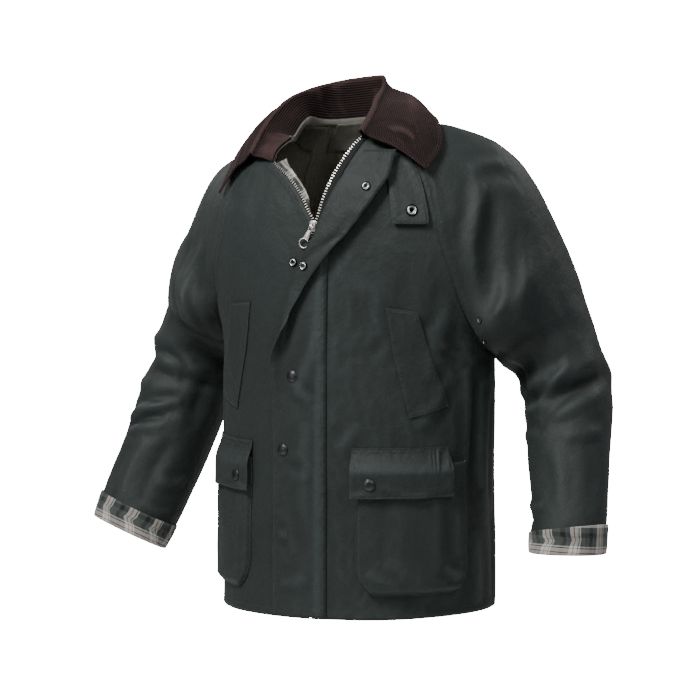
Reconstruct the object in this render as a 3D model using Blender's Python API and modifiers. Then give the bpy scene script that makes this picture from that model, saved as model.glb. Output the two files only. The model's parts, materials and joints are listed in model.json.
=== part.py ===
"""Waxed cotton jacket, filled out as when worn, with its zip open to the chest.

Metres, +Z up. The front faces -Y and the wearer's left is +X. The origin is the middle of the neck seam.
Angles on the body are degrees from +X, seen from above: -90 is the centre front and 90 the centre back.
"""
import math

import bmesh
import bpy
import numpy as np

# Driving sizes
CLOTH = 0.0018          # wall of the waxed cotton with its lining
TRIM = 0.0014           # wall of flaps, welts and facings
CORDUROY = 0.0028       # wall of the collar
SEAM_GAP = 0.0004       # half of the space between two sewn pieces
LAY_GAP = 0.0008        # space under a piece that lies on a panel
POCKET_GAP = 0.0005     # space under the edges of a pocket
HEM = -0.725            # height of the hem
HEM_TILT = 0.007        # how much higher the hem hangs at the wearer's left, and lower at the right
UNDERARM = -0.345       # height where the sleeve leaves the body
NECK_END = -0.002       # height where the raglan seams meet the neck
ZIP_STOP = -0.137       # height of the slider, where the opening starts
CHAIN_HALF = 0.0032     # half width of the closed zip chain
CHAIN_PROUD = 0.0012    # how far the chain stands out of the cloth

# The body's level rings
BODY_RINGS = (
    # height, half_width, front_depth, back_depth
    (-0.725, 0.218, 0.163, 0.152),
    (-0.600, 0.216, 0.162, 0.151),
    (-0.450, 0.215, 0.161, 0.149),
    (-0.345, 0.215, 0.160, 0.146),
    (-0.270, 0.227, 0.158, 0.142),
    (-0.200, 0.243, 0.155, 0.135),
    (-0.140, 0.240, 0.147, 0.125),
    (-0.107, 0.228, 0.139, 0.117),
    (-0.075, 0.209, 0.127, 0.106),
    (-0.040, 0.168, 0.112, 0.090),
    (-0.015, 0.124, 0.100, 0.076),
    (0.000, 0.098, 0.092, 0.066),
    (0.007, 0.083, 0.087, 0.060),
)
# The side seam and the raglan seams of the wearer's left
SEAMS = (
    # height, front_angle, back_angle
    (-0.725, 6.0, 6.0),
    (-0.450, 10.0, 10.0),
    (-0.345, 14.0, 14.0),
    (-0.330, -1.0, 27.0),
    (-0.300, -17.0, 38.0),
    (-0.250, -30.0, 46.0),
    (-0.200, -38.0, 50.0),
    (-0.140, -42.5, 54.0),
    (-0.075, -42.0, 54.0),
    (-0.002, -41.0, 46.0),
)
# Where the two halves of the zip chain lie, above the slider
OPENING = (
    # height, left_x, right_x
    (-0.137, 0.0018, 0.0018),
    (-0.127, 0.0045, 0.0100),
    (-0.106, 0.0090, 0.0240),
    (-0.088, 0.0145, 0.0410),
    (-0.071, 0.0200, 0.0640),
    (-0.056, 0.0270, 0.0880),
    (-0.030, 0.0410, 0.0950),
    (-0.018, 0.0500, 0.0950),
)
LEFT_TOP = -0.018       # height of the left end of the zip
RIGHT_TOP = -0.056      # height of the right end of the zip
# The neck seam, from the left end of the zip round the back to the right end
NECK = (
    # angle, height
    (-67.0, -0.018),
    (-41.0, -0.002),
    (0.0, 0.006),
    (46.0, -0.002),
    (90.0, 0.003),
    (134.0, -0.002),
    (180.0, 0.006),
    (221.0, -0.002),
    (228.0, -0.009),
    (235.0, -0.028),
    (242.0, -0.056),
)
# The open front lets the neck sag at the wearer's right
NECK_SAG = {"depth": 0.026, "angle": 210.0, "reach": 24.0, "from": -0.075, "to": -0.005}
# The sleeve's rings from its end, 0, to the underarm, 1
SLEEVE_RINGS = (
    # station, under_x, under_z, over_x, over_z, middle_y, depth, lean, skew
    (0.00, 0.3095, -0.6155, 0.4175, -0.6115, -0.054, 0.052, 0.10, 0.000),
    (0.16, 0.2990, -0.579, 0.411, -0.556, -0.028, 0.058, 0.12, 0.003),
    (0.34, 0.2830, -0.527, 0.403, -0.507, 0.002, 0.063, 0.13, 0.006),
    (0.52, 0.2690, -0.478, 0.396, -0.462, 0.026, 0.068, 0.11, 0.008),
    (0.70, 0.2560, -0.428, 0.388, -0.411, 0.048, 0.074, 0.07, 0.008),
    (0.82, 0.2440, -0.394, 0.377, -0.366, 0.060, 0.078, 0.04, 0.006),
    (0.92, 0.2260, -0.368, 0.363, -0.328, 0.062, 0.083, 0.02, 0.003),
    (1.00, 0.2090, -0.346, 0.348, -0.290, 0.062, 0.088, 0.00, 0.000),
)
RIGHT_SLEEVE_DROP = 0.020     # how much lower the wearer's right sleeve hangs towards its end
DROP_STATION = 0.9            # where that starts
# How the end of the right sleeve differs besides: lower under the arm, higher on top, further out, tilted
RIGHT_END = {"under": -0.0215, "over": 0.014, "out": 0.006, "lean": 0.24, "reach": 0.45}
# The top line of the sleeve from the underarm's level, 1, to the neck, 2, with the seam's height
SHOULDER = (
    # station, x, y, z, seam_height
    (1.00, 0.348, 0.062, -0.290, -0.345),
    (1.15, 0.322, 0.061, -0.223, -0.303),
    (1.32, 0.296, 0.055, -0.152, -0.240),
    (1.50, 0.262, 0.046, -0.082, -0.173),
    (1.64, 0.223, 0.038, -0.037, -0.122),
    (1.76, 0.177, 0.025, -0.012, -0.080),
    (1.88, 0.130, 0.010, 0.002, -0.041),
    (2.00, 0.083, 0.000, 0.006, -0.002),
)
RIGHT_SHOULDER_DROP = 0.024   # how much lower the wearer's right shoulder hangs
RIGHT_SHOULDER_X = 0.205      # where it hangs lowest
RIGHT_SHOULDER_REACH = 0.048  # how far to each side
RIGHT_NECK_DROP = 0.010       # how much lower it lies beside the neck
# The largest folds of the cloth: on the body in angle and height, on a sleeve in turn and station
BODY_FOLDS = (
    # angle_a, height_a, angle_b, height_b, width, depth
    (-12.0, -0.36, -17.0, -0.62, 0.020, -0.006),
    (-2.0, -0.38, -6.0, -0.60, 0.016, 0.004),
    (-26.0, -0.30, -34.0, -0.44, 0.022, -0.004),
    (196.0, -0.37, 200.0, -0.60, 0.020, -0.005),
    (30.0, -0.34, 40.0, -0.60, 0.024, -0.005),
    (150.0, -0.34, 140.0, -0.60, 0.024, -0.005),
    (62.0, -0.24, 80.0, -0.42, 0.026, -0.004),
    (118.0, -0.24, 100.0, -0.42, 0.026, -0.004),
)
SLEEVE_FOLDS = (
    # turn_a, station_a, turn_b, station_b, width, depth
    (0.10, 0.80, 0.46, 0.90, 0.014, 0.006),
    (0.06, 0.75, 0.50, 0.82, 0.011, -0.010),
    (0.02, 0.86, 0.30, 1.00, 0.016, -0.008),
    (0.92, 0.84, 0.60, 0.92, 0.016, -0.008),
    (0.90, 0.78, 0.56, 0.84, 0.014, 0.005),
    (0.10, 0.62, 0.34, 0.66, 0.014, -0.004),
    (0.86, 0.60, 0.62, 0.66, 0.014, -0.005),
)
TURN_LENGTH = 0.46      # round the sleeve, for the folds' widths
STATION_LENGTH = 0.30   # one station of the sleeve, for the folds' widths
# The collar, round the neck seam: where it rolls over and where its fall ends
COLLAR = (
    # angle, roll_x, roll_y, roll_z, edge_x, edge_y, edge_z, arch
    (-67.0, 0.056, -0.108, -0.006, 0.157, -0.098, -0.060, 0.004),
    (-40.0, 0.048, -0.060, 0.016, 0.161, -0.060, -0.034, 0.006),
    (0.0, 0.031, 0.000, 0.038, 0.128, 0.004, 0.009, 0.010),
    (45.0, 0.016, 0.055, 0.057, 0.082, 0.084, 0.003, 0.013),
    (90.0, 0.000, 0.080, 0.069, 0.000, 0.106, -0.012, 0.006),
    (135.0, -0.062, 0.060, 0.060, -0.118, 0.090, -0.006, 0.004),
    (180.0, -0.112, 0.000, 0.037, -0.168, 0.002, -0.014, 0.004),
    (215.0, -0.129, -0.052, -0.002, -0.188, -0.048, -0.058, 0.004),
    (242.0, -0.131, -0.098, -0.044, -0.187, -0.096, -0.104, 0.004),
)
COLLAR_ROLL = 0.0045    # radius of the collar's roll
# The storm flap across the front: flat from its seam, then round its roll, then back over itself
FLAP = (
    # height, seam_x, flat, roll, turn, rest
    (-0.722, 0.026, 0.055, 0.014, 0.0, 0.018),
    (-0.500, 0.026, 0.055, 0.014, 0.0, 0.018),
    (-0.400, 0.026, 0.055, 0.014, 8.0, 0.017),
    (-0.345, 0.026, 0.057, 0.016, 40.0, 0.012),
    (-0.310, 0.026, 0.060, 0.015, 105.0, 0.009),
    (-0.278, 0.026, 0.058, 0.0145, 160.0, 0.009),
    (-0.239, 0.026, 0.051, 0.0140, 180.0, 0.018),
    (-0.178, 0.026, 0.025, 0.0140, 180.0, 0.036),
    (-0.154, 0.027, 0.014, 0.0140, 180.0, 0.045),
    (-0.117, 0.036, 0.010, 0.0140, 180.0, 0.058),
    (-0.085, 0.049, 0.009, 0.0140, 180.0, 0.062),
    (-0.042, 0.074, 0.007, 0.0140, 180.0, 0.038),
)
FLAP_OVER_ZIP = 0.0036  # how far the flap stands off the front where the zip lies under it
# The throat tab, hanging on the left front
TAB = {"left": -61.0, "right": -46.5, "top": -0.036, "bottom": -0.141}
# The bellows pockets and their flaps, given for the wearer's left
POCKET = {"inner": -71.5, "outer": -20.0, "mouth": -0.492, "bottom": -0.690, "depth": 0.017}
POCKET_FOOT = {"part": 0.27, "width": 0.56}     # share of the height that is round, narrowest width
POCKET_FLAP = {"inner": -72.5, "outer": -30.5, "top": -0.468, "bottom": -0.541}
RIGHT_POCKET_SHIFT = 12.0   # degrees that the right pocket lies further round
RIGHT_POCKET_FULL = 0.55    # how full it is, as a part of the left one
# The corners of a handwarmer welt, given for the wearer's left
WELT = (
    # angle, height: top front, top back, foot back, foot front
    (-61.0, -0.262),
    (-48.0, -0.268),
    (-30.0, -0.408),
    (-49.0, -0.424),
)
# How far the checked lining stands past the right front's edge, into the opening
LINING = (
    # height, past_edge
    (-0.165, 0.0015),
    (-0.137, 0.0015),
    (-0.110, 0.0100),
    (-0.085, 0.0120),
    (-0.070, 0.0160),
    (-0.056, 0.0260),
)
TAPE_CLOTH = 0.0012     # wall of the zip's tape
CUFF_TURN = 0.030       # height of the turned-back cuff
CUFF_CLOTH = 0.0012     # wall of the checked lining
STUD_RADIUS = 0.0088
SOCKET_RADIUS = 0.0068
STUD_HEIGHT = 0.0030
# The zip's slider and pull
SLIDER = (0.0085, 0.0034, 0.0150)
PULL_AXIS_OUT = 0.0062  # the hinge bar, in front of the slider's base
PULL_SWING = 27.0       # how far the pull hangs towards the wearer's right, in degrees
PULL_LENGTH = 0.036
RING_OUTER = 0.0080
RING_INNER = 0.0056

WAXED = ("waxed_cotton", (0.032, 0.042, 0.040), 0.45, 0.0)
CORD = ("corduroy", (0.050, 0.024, 0.020), 0.85, 0.0)
CHECK = ("check_lining", (0.55, 0.52, 0.44), 0.85, 0.0)
FACING = ("facing_cotton", (0.060, 0.058, 0.045), 0.85, 0.0)
TAPE = ("zip_tape", (0.020, 0.022, 0.021), 0.80, 0.0)
BRASS = ("zip_metal", (0.60, 0.56, 0.46), 0.30, 1.0)
GUNMETAL = ("stud_metal", (0.28, 0.28, 0.27), 0.35, 1.0)


def smooth(rows, at):
    """Values at a place along a table, read smoothly between its rows by the first column.

    Each slope is the harmonic mean of its two neighbours, or level at a turn, so nothing overshoots.
    """
    table = np.array(rows, dtype=float)
    keys, values = table[:, 0], table[:, 1:]
    at = min(max(at, keys[0]), keys[-1])
    low = min(int(np.searchsorted(keys, at, side="right")) - 1, len(keys) - 2)
    chords = np.diff(values, axis=0) / np.diff(keys)[:, None]
    chords = np.vstack((chords[:1], chords, chords[-1:]))
    before, after = chords[low:low + 2], chords[low + 1:low + 3]
    level = before * after <= 0
    slopes = np.where(level, 0.0, 2 * before * after / np.where(level, 1.0, before + after))
    step = keys[low + 1] - keys[low]
    f = (at - keys[low]) / step
    rise, fall = slopes * step
    return ((1 + 2 * f) * (1 - f) ** 2 * values[low] + f * (1 - f) ** 2 * rise
            + f * f * (3 - 2 * f) * values[low + 1] + f * f * (f - 1) * fall)


def ease(part):
    """A soft step from 0 to 1."""
    part = min(max(part, 0.0), 1.0)
    return part * part * (3 - 2 * part)


def unit(vector):
    return np.asarray(vector, dtype=float) / np.linalg.norm(vector)


def fold_depth(folds, u, v, u_length, v_length):
    """How far the folds of a table push the cloth out at (u, v)."""
    depth = 0.0
    for u_a, v_a, u_b, v_b, width, push in folds:
        start = np.array([u_a * u_length, v_a * v_length])
        along = np.array([u_b * u_length, v_b * v_length]) - start
        here = np.array([u * u_length, v * v_length]) - start
        part = float(np.dot(here, along) / np.dot(along, along))
        part = min(max(part, 0.0), 1.0)
        away = np.linalg.norm(here - along * part) / width
        depth += push * math.exp(-away * away) * (0.35 + 0.65 * math.sin(math.pi * part))
    return depth


def body_ring(angle, height):
    """A point of the body's plain form."""
    half_width, front, back = smooth(BODY_RINGS, height)
    turn = math.radians(angle)
    depth = front if math.sin(turn) < 0 else back
    tilt = HEM_TILT * math.cos(turn) * ease((UNDERARM - height) / (UNDERARM - HEM))
    away = (angle % 360 - NECK_SAG["angle"]) / NECK_SAG["reach"]
    sag = ease((height - NECK_SAG["from"]) / (NECK_SAG["to"] - NECK_SAG["from"]))
    sag *= NECK_SAG["depth"] * math.exp(-away * away)
    return np.array([half_width * math.cos(turn), depth * math.sin(turn), height + tilt - sag])


def side_ring(angle, height, right):
    """A point of the plain form given for the wearer's left, or the right's own point in a mirror."""
    if right:
        return body_ring(180 - angle, height) * np.array([-1.0, 1.0, 1.0])
    return body_ring(angle, height)


def body_normal(angle, height):
    across = body_ring(angle + 0.5, height) - body_ring(angle - 0.5, height)
    up = body_ring(angle, height + 0.001) - body_ring(angle, height - 0.001)
    return unit(np.cross(across, up))


def body(angle, height, lift=0.0):
    """A point on the folded cloth of the body, moved out by lift."""
    radius = 0.19
    turn = (angle + 90) % 360 - 90
    low = ease((height - HEM) / 0.05)
    high = ease((UNDERARM + 0.14 - height) / 0.10)
    push = fold_depth(BODY_FOLDS, turn, height, math.radians(radius), 1.0) * low * high
    return body_ring(angle, height) + body_normal(angle, height) * (push + lift)


def angle_at(x, height):
    """The front angle on the body that has this x."""
    half_width = smooth(BODY_RINGS, height)[0]
    return -math.degrees(math.acos(min(max(x / half_width, -1.0), 1.0)))


def front(x, height, lift=0.0):
    """A point of the front, given by its x."""
    return body(angle_at(x, height), height, lift)


def neck_height(angle):
    return smooth(NECK, angle)[0]


def spread(count, edge=0.015):
    """Even parts from 0 to 1, with a narrow one at each end, so the wall turns square at a seam."""
    inner = np.linspace(edge, 1 - edge, count)
    return np.concatenate(([0.0], inner, [1.0]))


CAP_STATIONS = (1.03, 1.08, 1.15, 1.25, 1.37, 1.50, 1.64, 1.76, 1.86, 1.94, 2.00)
BODY_ROWS = 8           # rows between the hem and the underarm
OPEN_ROWS = 9           # rows beside the open zip
RIGHT_NECK_ROWS = (236.0, 231.0, 226.0)     # where rows of the right front start along the neck


def seam_heights():
    """The heights of the panels' rows at their side and raglan seams."""
    return list(np.linspace(HEM, UNDERARM, BODY_ROWS + 1)) + [
        float(smooth(SHOULDER, station)[3]) for station in CAP_STATIONS]


def zip_heights(right):
    """The heights of a front panel's rows at its edge along the zip."""
    top = RIGHT_TOP if right else LEFT_TOP
    closed = list(np.linspace(HEM, -0.27, BODY_ROWS + 1)) + [-0.21, -0.165]
    rows = OPEN_ROWS - len(RIGHT_NECK_ROWS) if right else OPEN_ROWS
    return closed + list(np.linspace(ZIP_STOP, top, rows))


def seam_gap(height):
    """Half of the space at a seam, in degrees round the body."""
    return math.degrees(SEAM_GAP / smooth(BODY_RINGS, height)[0])


def seam_angle(height, back):
    """The angle of the side seam, and above the underarm of a raglan seam."""
    return smooth(SEAMS, height)[1 if back and height > UNDERARM else 0]


def material(spec):
    name, colour, roughness, metallic = spec
    made = bpy.data.materials.get(name) or bpy.data.materials.new(name)
    made.use_nodes = True
    shader = made.node_tree.nodes["Principled BSDF"]
    shader.inputs["Base Color"].default_value = (*colour, 1.0)
    shader.inputs["Roughness"].default_value = roughness
    shader.inputs["Metallic"].default_value = metallic
    return made


def keep(name, mesh, spec):
    """Put a mesh in the jacket's collection as a named object with its material."""
    made = bpy.data.objects.new(name, mesh)
    jacket.objects.link(made)
    mesh.materials.append(material(spec))
    mesh.shade_smooth()
    mesh.set_sharp_from_angle(angle=math.radians(40))
    return made


def cloth(name, points, spec, wall):
    """A sheet of cloth through a grid of points, its wall lying under the grid's outer side."""
    rows, columns = points.shape[:2]
    bm = bmesh.new()
    bmesh.ops.create_grid(bm, x_segments=columns - 1, y_segments=rows - 1, size=1)
    bm.verts.ensure_lookup_table()
    for vert, place in zip(bm.verts, points.reshape(-1, 3)):
        vert.co = place
    bmesh.ops.remove_doubles(bm, verts=bm.verts, dist=0.00002)
    mesh = bpy.data.meshes.new(name)
    bm.to_mesh(mesh)
    bm.free()
    made = keep(name, mesh, spec)
    thick = made.modifiers.new("wall", "SOLIDIFY")
    thick.thickness = wall
    thick.offset = -1
    thick.use_even_offset = False
    return made


def mirrored(points):
    """The same grid for the wearer's right."""
    return points[:, ::-1] * np.array([-1.0, 1.0, 1.0])


# Front and back panels

def chain_x(height, right):
    """How far the chain lies from the middle, on either side."""
    return smooth(OPENING, height)[1 if right else 0]


def front_edge(right):
    """Angle and height of each row's start: along the zip, then on the right along the neck."""
    places = []
    for height in zip_heights(right):
        angle = angle_at(chain_x(height, right) + CHAIN_HALF, height)
        places.append((angle, height))
    if right:
        places += [(180 - angle, neck_height(angle)) for angle in RIGHT_NECK_ROWS]
    return places


def front_panel(right):
    """Rows of points up a front panel, from the zip's edge to the side."""
    edge, side = front_edge(right), seam_heights()
    top_angle, top_height = edge[-1]
    grid = []
    for (inner_angle, inner_height), outer_height in zip(edge, side):
        part = (outer_height - HEM) / (NECK_END - HEM)
        row = []
        for across in spread(8):
            neck_angle = top_angle + (seam_angle(NECK_END, False) - top_angle) * across
            neck = neck_height(180 - neck_angle if right else neck_angle)
            dip = neck - (top_height + (NECK_END - top_height) * across)
            height = inner_height + (outer_height - inner_height) * across + dip * part ** 3
            outer_angle = seam_angle(height, False) - seam_gap(height)
            angle = inner_angle + (outer_angle - inner_angle) * across
            row.append(body(180 - angle if right else angle, height))
        grid.append(row[::-1] if right else row)
    return np.array(grid)


def back_places():
    """Angle and height of each point of the back panel, row by row."""
    rows = []
    for side_height in seam_heights():
        part = (side_height - HEM) / (NECK_END - HEM)
        row = []
        for across in spread(14, 0.008):
            neck_angle = seam_angle(NECK_END, True)
            neck_angle += (180 - 2 * neck_angle) * across
            height = HEM + (neck_height(neck_angle) - HEM) * part
            start = seam_angle(height, True) + seam_gap(height)
            row.append((start + (180 - 2 * start) * across, height))
        rows.append(row)
    return rows


def back_panel():
    return np.array([[body(*place) for place in row] for row in back_places()])


def edge_row(row, right):
    """A front panel's row, from the zip's edge outwards."""
    return row[::-1] if right else row


def from_edge(row, distance, lift, right):
    """A point on a front panel's own row, a distance from the zip's edge, moved out by lift."""
    row = edge_row(row, right)
    steps = np.linalg.norm(np.diff(row, axis=0), axis=1)
    places = np.concatenate(([0.0], np.cumsum(steps)))
    if distance < 0:
        point = row[0] + unit(row[0] - row[1]) * -distance
    else:
        point = np.array([np.interp(distance, places, row[:, axis]) for axis in range(3)])
    angle = math.degrees(math.atan2(point[1], point[0]))
    return point + body_normal(angle, point[2]) * lift


def make_panels():
    cloth("front_left", front_panel(False), WAXED, CLOTH)
    cloth("front_right", front_panel(True), WAXED, CLOTH)
    cloth("back", back_panel(), WAXED, CLOTH)


# Sleeves

def arc(start, leave, end, arrive, fullness, part):
    """A point on the rounded line that leaves one point and arrives at another."""
    chord = np.linalg.norm(end - start)
    turn = math.acos(min(max(float(np.dot(leave, arrive)), -1.0), 0.98))
    reach = fullness * 4 / 3 * math.tan(turn / 4) * chord / (2 * math.sin(turn / 2))
    first, second = start + leave * reach, end - arrive * reach
    rest = 1 - part
    return (rest ** 3 * start + 3 * rest * rest * part * first
            + 3 * rest * part * part * second + part ** 3 * end)


def sleeve_section(station, right):
    """The sleeve's lines at a station: seam points, top point, their directions and fullness."""
    if station <= 1.0:
        ring = smooth(SLEEVE_RINGS, station)
        under_x, under_z, over_x, over_z, middle_y, depth, lean, skew = ring
        under = np.array([under_x, middle_y + skew, under_z])
        over = np.array([over_x, middle_y - skew, over_z])
        if right:
            at_end = max(0.0, 1 - station / RIGHT_END["reach"])
            drop = RIGHT_SLEEVE_DROP * (1 - ease(station / DROP_STATION))
            under += np.array([RIGHT_END["out"] * at_end, 0.0, RIGHT_END["under"] * at_end - drop])
            over += np.array([RIGHT_END["out"] * at_end, 0.0, RIGHT_END["over"] * at_end - drop])
            lean += RIGHT_END["lean"] * at_end
        if station > 0.9:
            under[1] += (0.036 - under[1]) * ease((station - 0.9) / 0.1)
        ahead = unit([0.35 * ease((station - 0.75) / 0.25), -1.0, lean])
        behind = unit([0.35 * ease((station - 0.75) / 0.25), 1.0, -lean])
        back = unit([0.0, 1.0, -lean])
        fullness = depth / (np.linalg.norm(over - under) / 2)
        return under, under, over, ahead, behind, back, fullness
    x, y, z, seam_height = smooth(SHOULDER, station)
    if right:
        away = (x - RIGHT_SHOULDER_X) / RIGHT_SHOULDER_REACH
        z -= RIGHT_SHOULDER_DROP * math.exp(-away * away)
        z -= RIGHT_NECK_DROP * ease((station - 1.7) / 0.2)
    front_angle = seam_angle(seam_height, False) + seam_gap(seam_height)
    back_angle = seam_angle(seam_height, True) - seam_gap(seam_height)
    blend = ease((station - 1) / 0.55)
    first = side_ring(front_angle, seam_height, right)
    last = side_ring(back_angle, seam_height, right)
    lift = 0.0006 * (1 - ease((station - 1) / 0.1))
    first[0] += lift
    last[0] += lift
    onward = unit(side_ring(front_angle + 1, seam_height, right) - first)
    inward = unit(side_ring(back_angle - 1, seam_height, right) - last)
    ahead = unit((1 - blend) * unit([0.35, -1.0, 0.0]) + blend * onward)
    behind = unit((1 - blend) * unit([0.35, 1.0, 0.0]) + blend * inward)
    fullness = smooth(SLEEVE_RINGS, 1.0)[5] / 0.0755 * (1 - blend) + 1.05 * blend
    return first, last, np.array([x, y, z]), ahead, behind, np.array([0.0, 1.0, 0.0]), fullness


def sleeve_ring(turn, station, right):
    """A point of the sleeve's plain form, for the wearer's left: turn 0 is the front seam or underarm."""
    first, last, over, ahead, behind, back, fullness = sleeve_section(station, right)
    if turn <= 0.5:
        return arc(first, ahead, over, back, fullness, turn * 2)
    return arc(over, back, last, -behind, fullness, turn * 2 - 1)


def sleeve(turn, station, right, lift=0.0):
    """A point on the folded cloth of the sleeve, moved out by lift."""
    turn = min(max(turn, 0.0), 1.0)
    step, rise = 0.01, 0.01
    high = min(station + rise, 2.0)
    low = max(station - rise, 0.0)
    left_turn, right_turn = max(turn - step, 0.0), min(turn + step, 1.0)
    across = sleeve_ring(right_turn, station, right) - sleeve_ring(left_turn, station, right)
    if station <= 1.0 and turn in (0.0, 1.0):
        across = sleeve_ring(step, station, right) - sleeve_ring(1 - step, station, right)
    up = sleeve_ring(turn, high, right) - sleeve_ring(turn, low, right)
    normal = unit(np.cross(across, up))
    calm = min(ease((turn - 0.02) / 0.08), ease((0.98 - turn) / 0.08)) if station > 0.97 else 1.0
    push = sum(fold_depth(SLEEVE_FOLDS, turn + lap, station, TURN_LENGTH, STATION_LENGTH)
               for lap in (-1, 0, 1))
    push *= calm * ease(station / 0.2)
    return sleeve_ring(turn, station, right) + normal * (push + lift)


SLEEVE_TURNS = spread(16, 0.012)
SLEEVE_STATIONS = (0.0, 0.14, 0.30, 0.45, 0.58, 0.68, 0.76, 0.83, 0.90, 0.95, 1.0) + CAP_STATIONS


def make_sleeve(name, right):
    grid = []
    for station in SLEEVE_STATIONS:
        row = [sleeve(turn, station, right) for turn in SLEEVE_TURNS]
        if station == 2.0:
            ends = seam_angle(NECK_END, False), seam_angle(NECK_END, True)
            gap = seam_gap(NECK_END)
            angles = ends[0] + gap + (ends[1] - ends[0] - 2 * gap) * SLEEVE_TURNS
            row = [side_ring(angle, neck_height(180 - angle if right else angle), right)
                   for angle in angles]
        grid.append(row)
    grid = np.array(grid)
    cloth(name, mirrored(grid) if right else grid, WAXED, CLOTH)


def make_cuff(name, right):
    """The checked lining, turned back up over the sleeve's end."""
    inside = -(CLOTH + 0.0005 + CUFF_CLOTH)
    outside = 0.0005 + CUFF_CLOTH
    end_length = 0.27
    profile = (
        # along the sleeve from its end, out of its cloth
        (0.014, inside),
        (-0.0014, inside),
        (-0.0026, (inside + outside) / 2 - 0.0008),
        (-0.0026, (inside + outside) / 2 + 0.0008),
        (-0.0014, outside),
        (CUFF_TURN / 2, outside + 0.0010),
        (CUFF_TURN, outside + 0.0004),
    )
    grid = []
    for along, out in profile:
        row = []
        for turn in SLEEVE_TURNS:
            station = max(along, 0.0) / end_length
            point = sleeve(turn, station, right, out)
            if along < 0:
                point = point + unit(sleeve_ring(turn, 0.0, right)
                                     - sleeve_ring(turn, 0.02, right)) * -along
            row.append(point)
        row[-1] = row[0]
        grid.append(row)
    grid = np.array(grid)
    cloth(name, mirrored(grid) if right else grid, CHECK, CUFF_CLOTH)


# Collar

def make_collar():
    left = [-67.0 + 26.0 * across for across in spread(8)[::2]]
    sagging = list(np.linspace(170, 216, 8))
    right = [242.0 - 21.0 * across for across in spread(6)][::-1]
    grid = []
    for angle in left + list(np.linspace(-36, 160, 15)) + sagging + right:
        values = smooth(COLLAR, angle)
        base = body_ring(angle, neck_height(angle))
        ahead = body_ring(angle + 0.5, neck_height(angle + 0.5)) - base
        if angle > 241.0:
            ahead = base - body_ring(angle - 0.5, neck_height(angle - 0.5))
        outer = body_normal(angle, base[2])
        roll, edge, arch = values[:3], values[3:6], values[6]
        outward = unit((edge - base) * np.array([1.0, 1.0, 0.0]))
        rise = (base + roll) / 2 - outward * 0.002 - base
        wall = unit(np.cross(ahead, rise))
        clear = 0.0008 + 1.25 * CORDUROY * max(0.0, -float(np.dot(wall, outer)))
        base = base + unit(np.cross(outer, ahead)) * SEAM_GAP + outer * clear
        up = np.array([0.0, 0.0, 1.0])
        fall = edge - roll
        path = (
            base,
            (base + roll) / 2 - outward * 0.002,
            roll - outward * COLLAR_ROLL - up * COLLAR_ROLL * 0.6,
            roll - outward * COLLAR_ROLL * 0.5 + up * COLLAR_ROLL * 0.3,
            roll + outward * COLLAR_ROLL * 0.5 + up * COLLAR_ROLL * 0.3,
            roll + outward * COLLAR_ROLL - up * COLLAR_ROLL * 0.6 + fall * 0.04,
            roll + fall * 0.5 + outward * 0.003 + up * arch,
            edge,
        )
        grid.append(path)
    grid = np.array(grid).transpose(1, 0, 2)[:, ::-1]
    cloth("collar", grid, CORD, CORDUROY)


# Storm flap and throat tab

def flap_point(height, length, lift=0.0):
    """A point on the flap, a length from its seam; lift is towards its outer side."""
    seam_x, flat, roll, turn, rest = smooth(FLAP, height)
    turn = math.radians(turn)
    rolled = min(max(length - flat, 0.0), roll)
    over = max(length - flat - roll, 0.0)
    bend = turn * rolled / roll
    if turn > 1e-3:
        across = roll / turn * math.sin(bend)
        out = roll / turn * (1 - math.cos(bend))
    else:
        across, out = rolled, 0.0
    across += min(length, flat) + over * math.cos(turn) + lift * math.sin(bend)
    out += over * math.sin(turn) + lift * math.cos(bend)
    base = LAY_GAP + TRIM + FLAP_OVER_ZIP * ease(min(length, flat) / 0.010)
    return front(seam_x - across, height, base + out)


def flap_grid():
    """Rows up the flap; across each, points from its seam to its free edge."""
    heights = (-0.722, -0.65, -0.57, -0.49, -0.43, -0.385, -0.35, -0.328, -0.308, -0.29, -0.27,
               -0.239, -0.205, -0.178, -0.154, -0.13, -0.105, -0.085, -0.062, -0.042)
    grid = []
    for height in heights:
        seam_x, flat, roll, turn, rest = smooth(FLAP, height)
        lengths = list(np.linspace(0, flat, 4)) + list(flat + roll * np.linspace(0.2, 1, 5))
        lengths += list(flat + roll + rest * np.array([0.34, 0.67, 1.0]))
        grid.append([flap_point(height, length) for length in lengths[::-1]])
    return np.array(grid)


def make_storm_flap():
    cloth("storm_flap", flap_grid(), WAXED, TRIM)


def make_tab():
    """A strap with rounded foot corners, lying on the left front and lifting a little at its foot."""
    grid = []
    for part in (0.0, 0.04, 0.12, 0.3, 0.55, 0.8, 1.0):
        height = TAB["bottom"] + (TAB["top"] - TAB["bottom"]) * part
        narrow = 1.0 - 0.12 * (1 - ease(part / 0.12))
        middle, half = (TAB["left"] + TAB["right"]) / 2, (TAB["right"] - TAB["left"]) / 2
        lift = LAY_GAP + 2 * TRIM + 0.004 * (1 - part) ** 2
        grid.append([body(middle + half * narrow * side, height, lift)
                     for side in (-1.0, -0.6, 0.0, 0.6, 1.0)])
    cloth("throat_tab", np.array(grid), WAXED, 2 * TRIM)


# Pockets

def side_point(angle, height, lift, right):
    """A point on the wearer's left, or its counterpart on the right."""
    return body(180 - angle if right else angle, height, lift)


def side_grid(rows, right):
    """A grid given for the wearer's left, put on either side, with its outer side outwards."""
    grid = np.array([[side_point(*place, right) for place in row] for row in rows])
    return grid[:, ::-1] if right else grid


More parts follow.
